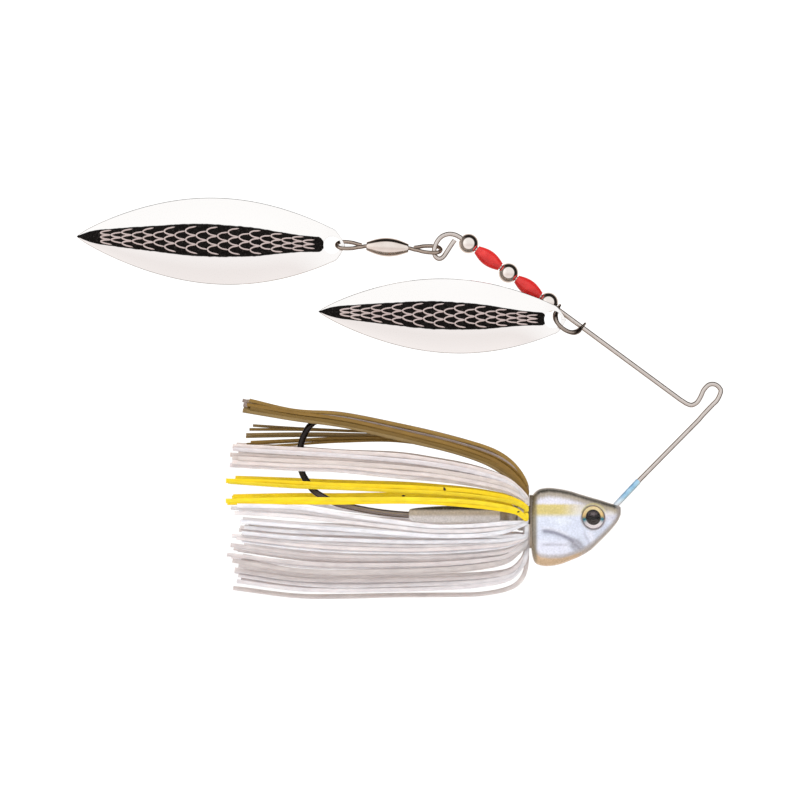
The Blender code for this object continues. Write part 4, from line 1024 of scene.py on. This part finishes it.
def blade(name, node_name, body, length, half, root, tilt_deg, y0, hole_x):
    ca, sa = math.cos(math.radians(tilt_deg)), math.sin(math.radians(tilt_deg))
    nu, nv = 120, 46

    def at_(u, v, lift=0.0, layer=1):
        w_, bow = surf(u, v, length, half)
        x, z = -u * length, v * w_
        d = (1 - abs(v)) * w_
        lip = 0.09 * max(0.0, 1 - d / 0.12) ** 1.5 * layer
        return Vector((root[0] + x * ca - z * sa, y0 - bow - layer * PLATE - lift + lip, root[1] - x * sa + z * ca)), w_

    verts, uvs = [], []
    for layer in (0, 1):
        for i in range(nu + 1):
            u = 0.5 - 0.5 * math.cos(math.pi * i / nu)
            w0 = surf(u, 0, length, half)[0]
            rim = [min(0.3, q / w0) for q in (0.0, 0.05, 0.1, 0.15, 0.2, 0.3)]
            inn = 1 - rim[-1]
            vs = [-1 + q for q in rim] + [inn * (-1 + 2 * q / (nv - 10)) for q in range(1, nv - 10)] + [1 - q for q in reversed(rim)]
            for j, v in enumerate(vs):
                p, w_ = at_(u, v, 0.0, layer)
                verts.append(p)
                h = float(np.interp(u, LENS_U, LENS_H)) * half
                uvs.append((u, min(3.0, abs(v * w_) / max(h, 0.004) * 0.5) if layer else 3.0))
    n = (nu + 1) * (nv + 1)
    ix = lambda i, j, l=0: l * n + i * (nv + 1) + j
    faces = []
    for i in range(nu):
        for j in range(nv):
            faces.append((ix(i, j), ix(i + 1, j), ix(i + 1, j + 1), ix(i, j + 1)))
            faces.append((ix(i, j, 1), ix(i, j + 1, 1), ix(i + 1, j + 1, 1), ix(i + 1, j, 1)))
    edge = [(i, 0) for i in range(nu)] + [(nu, j) for j in range(nv)] + [(i, nv) for i in range(nu, 0, -1)] + [(0, j) for j in range(nv, 0, -1)]
    for k in range(len(edge)):
        a, b = edge[k], edge[(k + 1) % len(edge)]
        faces.append((ix(*a), ix(*b), ix(*b, 1), ix(*a, 1)))
    o = fix_normals(make(name, verts, faces, uvs=uvs, mats=[BLADE]))
    hc = (root[0] - hole_x * ca, y0, root[1] + hole_x * sa)
    cut(o, turned("hole", [(0, -4), (HOLE_R, -4), (HOLE_R, 4), (0, 4)], hc, (0, 1, 0), 72))
    o.data.polygons.foreach_set("use_smooth", [True] * len(o.data.polygons))
    crisp(o, 35)
    # raised marks pressed into the lens: a plain fish-scale net of staggered arcs
    strokes = []
    m = 20 if half > 9 else 19
    gap_u = 0.755 / (m - 1)
    for k in range(m):
        uc = 0.115 + k * gap_u
        for c_ in (-0.62, 0.0, 0.62) if k % 2 else (-0.31, 0.31):
            arc = []
            for q in range(9):
                t = -1 + q / 4
                ua = uc + gap_u * (1 - t * t) ** 0.6
                hh = float(np.interp(ua, LENS_U, LENS_H)) * half * 0.9
                arc.append((ua, (c_ + 0.31 * t) * hh))
            strokes.append(arc)
    vv, ff, uu = [], [], []
    for st in strokes:
        path = []
        per = 3 if len(st) > 5 else 8
        for i in range(len(st) - 1):
            for q in range(per):
                t = q / per
                path.append((st[i][0] + (st[i + 1][0] - st[i][0]) * t, st[i][1] + (st[i + 1][1] - st[i][1]) * t))
        path.append(st[-1])
        pts = []
        for u, zz in path:
            w_, _ = surf(u, 0, length, half)
            p, _ = at_(u, max(-1, min(1, zz / w_)), -0.02)
            pts.append(p)
        L = len(pts)
        rr = [0.2 * math.sqrt(max(0.03, 1 - max(0.0, (0.9 - min(i, L - 1 - i)) / 0.95) ** 2)) for i in range(L)]
        v, f, uvp = tube(pts, rr, 12, dome=0.2)
        mid_y = [p.y for p in pts]
        v2 = []
        for i, p in enumerate(v):
            k = min(i // 12, L - 1)
            y = mid_y[k] if i < 12 * L else p.y
            v2.append((p.x, y + (p.y - y) * 0.62, p.z))
        off = len(vv)
        vv += v2
        ff += [tuple(q + off for q in g) for g in f]
        uu += uvp
    marks = fix_normals(make(name + "_marks", vv, ff, uvs=uu, mats=[EMBOSS]))
    o = join(name, [o, marks])
    return done(o, body, [node_name])


blade("vis_front_blade", "front_blade", "blade_front", FRONT_LEN, FRONT_HALF, (-31.72, 14.75), 1.9, FRONT_Y, 2.8)
blade("vis_rear_blade", "rear_blade", "blade_rear", REAR_LEN, REAR_HALF, (-79.0, 30.85), 1.9, REAR_Y, 2.8)

# ---------------------------------------------------------------- barrel swivel
AX = (SWIVEL_B - SWIVEL_A).normalized()
MID = Vector((-69.9, 0, SWIVEL_A.z + (-69.9 - SWIVEL_A.x) * AX.z / AX.x))
prof = [(SWIVEL_EYE_R + 0.12, -4.5), (0.84, -4.52)]
prof += [(0.9 + 1.09 * max(0.0, 1 - (h_ / 4.5) ** 2) ** 1.15, h_) for h_ in [-4.4 + 8.8 * k / 30 for k in range(31)]]
prof += [(0.84, 4.52), (SWIVEL_EYE_R + 0.12, 4.5), (SWIVEL_EYE_R + 0.12, 3.6), (0.85, 3.0), (1.2, 1.9), (1.2, -1.9), (0.85, -3.0), (SWIVEL_EYE_R + 0.12, -3.6)]
barrel = turned("vis_swivel_barrel", prof, MID, AX, 64, [BARRELM], angle=50)
done(barrel, "swivel_body", ["swivel_barrel"])


def swivel_eye(name, node_name, body, tip, to_mid, turn_deg):
    side0 = Vector((0, 0, 1))
    side0 = (side0 - to_mid * side0.dot(to_mid)).normalized()
    sd_ = Matrix.Rotation(math.radians(turn_deg), 3, to_mid) @ side0
    dist = (MID - tip).length
    R, L = 1.5, (dist - BARREL_HALF) / 1.22
    pts = []
    for k in range(13):
        a = math.radians(90 + 180 * k / 12)
        pts.append((R + R * math.cos(a), R * math.sin(a)))
    right = [(L * 0.42, -1.5), (L * 0.66, -1.25), (L * 0.86, -0.72), (L * 0.985, -0.52)]
    left = [(L * 1.0, 0.42), (L * 0.84, 0.78), (L * 0.66, 1.25), (L * 0.42, 1.5)]
    stem = [(L * 1.12, -0.12), (L * 1.2, 0.0), (dist - 3.2, 0.0), (dist - 1.2, 0.0)]
    flat = left + pts + right + stem
    P3 = spline([tip + to_mid * u + sd_ * v for u, v in flat], 4)
    o = tube_obj(name, P3, SWIVEL_EYE_R, 18, SWIVM, dome=0.0)
    hd = turned(name + "_head", [(0, dist - 2.6), (0.5, dist - 2.56), (0.8, dist - 2.35), (0.85, dist - 1.3), (0.5, dist - 1.0), (0, dist - 0.95)], tip, to_mid, 28, [SWIVM])
    o = join(name, [o, hd])
    return done(o, body, [node_name])


swivel_eye("vis_swivel_eye_front", "swivel_eye_front", "swivel_front", SWIVEL_A, AX, 58)
swivel_eye("vis_swivel_eye_rear", "swivel_eye_rear", "swivel_rear", SWIVEL_B, -AX, -58)

# ---------------------------------------------------------------- stage: pale floor, soft white studio
bpy.ops.mesh.primitive_plane_add(size=6, location=(-0.067, 0, -0.12))
floor = bpy.context.object
floor.name = "floor"
fm, fnt, fb = shader("floor_pale", (0.93, 0.93, 0.93), 0.9, 0.0)
fnt.links.new(ramp(fnt, noise(fnt, obj_coords(fnt), 3, 2), [(0.3, (0.955, 0.955, 0.955)), (0.7, (0.97, 0.97, 0.97))]), fb.inputs["Base Color"])
floor.data.materials.append(fm)
floor.visible_glossy = False

world = bpy.data.worlds.new("studio")
scene.world = world
world.use_nodes = True
wn = world.node_tree
wn.nodes.clear()
out = wn.nodes.new("ShaderNodeOutputWorld")
bg = wn.nodes.new("ShaderNodeBackground")
plain_bg = wn.nodes.new("ShaderNodeBackground")
plain_bg.inputs["Color"].default_value = (1, 1, 1, 1)
plain_bg.inputs["Strength"].default_value = 1.15
room = wn.nodes.new("ShaderNodeBackground")
room.inputs["Color"].default_value = (1.0, 0.995, 0.99, 1)
room.inputs["Strength"].default_value = 0.84
ms2 = wn.nodes.new("ShaderNodeMixShader")
lp = wn.nodes.new("ShaderNodeLightPath")
ms = wn.nodes.new("ShaderNodeMixShader")
tc = wn.nodes.new("ShaderNodeTexCoord")
sp = wn.nodes.new("ShaderNodeSeparateXYZ")
wn.links.new(tc.outputs["Generated"], sp.inputs["Vector"])


def wmath(op, a, b=None, c=None):
    n_ = wn.nodes.new("ShaderNodeMath")
    n_.operation = op
    for i, v in enumerate((a, b, c)):
        if v is None:
            continue
        if isinstance(v, bpy.types.NodeSocket):
            wn.links.new(v, n_.inputs[i])
        else:
            n_.inputs[i].default_value = v
    return n_.outputs["Value"]


def wstep(v, lo, hi):
    """0 below lo, 1 above hi; hi may be lower than lo."""
    n_ = wn.nodes.new("ShaderNodeMapRange")
    n_.interpolation_type = "SMOOTHSTEP"
    n_.inputs["From Min"].default_value = lo
    n_.inputs["From Max"].default_value = hi
    wn.links.new(v, n_.inputs["Value"])
    return n_.outputs["Result"]


front = wmath("MULTIPLY", sp.outputs["Y"], -1.0)
cap = wstep(front, 0.24, 0.42)  # a big soft screen in front
behind = wstep(front, -0.5, -0.74)  # and a small one behind
left = wmath("MULTIPLY", wstep(wmath("MULTIPLY", sp.outputs["X"], -1.0), 0.25, 0.85), 0.2)
low = wmath("MULTIPLY", wstep(sp.outputs["Z"], -0.3, -0.9), 0.16)
dim = wmath("ADD", wmath("ADD", 0.022, left), low)
lit = cap
tone = wn.nodes.new("ShaderNodeValToRGB")
for e, (pos, col) in zip(tone.color_ramp.elements, ((0.34, (0.86, 0.815, 0.80, 1)), (0.56, (1.0, 0.995, 0.99, 1)))):
    e.position, e.color = pos, col
wn.links.new(wmath("MULTIPLY_ADD", sp.outputs["Z"], 0.5, 0.5), tone.inputs["Fac"])
paint = wn.nodes.new("ShaderNodeMix")
paint.data_type = "RGBA"
paint.inputs["A"].default_value = (1.0, 0.86, 0.76, 1)
wn.links.new(tone.outputs["Color"], paint.inputs["B"])
wn.links.new(cap, paint.inputs["Factor"])
wn.links.new(paint.outputs["Result"], bg.inputs["Color"])
wn.links.new(wmath("ADD", wmath("ADD", lit, wmath("MULTIPLY", behind, 0.75)), dim), bg.inputs["Strength"])
wn.links.new(lp.outputs["Is Camera Ray"], ms.inputs["Fac"])
wn.links.new(lp.outputs["Is Diffuse Ray"], ms2.inputs["Fac"])
wn.links.new(bg.outputs["Background"], ms2.inputs[1])
wn.links.new(room.outputs["Background"], ms2.inputs[2])
wn.links.new(ms2.outputs["Shader"], ms.inputs[1])
wn.links.new(plain_bg.outputs["Background"], ms.inputs[2])
wn.links.new(ms.outputs["Shader"], out.inputs["Surface"])
# soft lamps for the dull pieces; the metals only mirror the screens above
ld = bpy.data.lights.new("lamp_front", "AREA")
ld.size, ld.energy = 0.7, 0.7
lo = bpy.data.objects.new("lamp_front", ld)
lo.location = (-0.2, -0.7, 0.45)
lo.rotation_euler = (Vector((-0.067, 0, 0)) - Vector(lo.location)).to_track_quat("-Z", "Y").to_euler()
ld = bpy.data.lights.new("lamp_sky", "SUN")
ld.energy, ld.angle = 1.15, math.radians(70)
lo2 = bpy.data.objects.new("lamp_sky", ld)
lo2.rotation_euler = (math.radians(28), math.radians(-8), 0)
for lamp in (lo, lo2):
    lamp.visible_glossy = lamp.visible_camera = False
    scene.collection.objects.link(lamp)
scene.view_settings.view_transform = "Standard"
scene.view_settings.look = "None"

cam_data = bpy.data.cameras.new("camera")
cam = bpy.data.objects.new("camera", cam_data)
scene.collection.objects.link(cam)
DIST = 480.0
cam.location = (-67.2 * MM, -DIST * MM, -2.4 * MM)
cam.rotation_euler = (math.radians(90), 0, 0)
cam_data.sensor_width = 36
cam_data.lens = 36 * DIST / (800 / 4.65)
cam_data.clip_start = 0.01
cam_data.clip_end = 30
scene.camera = cam
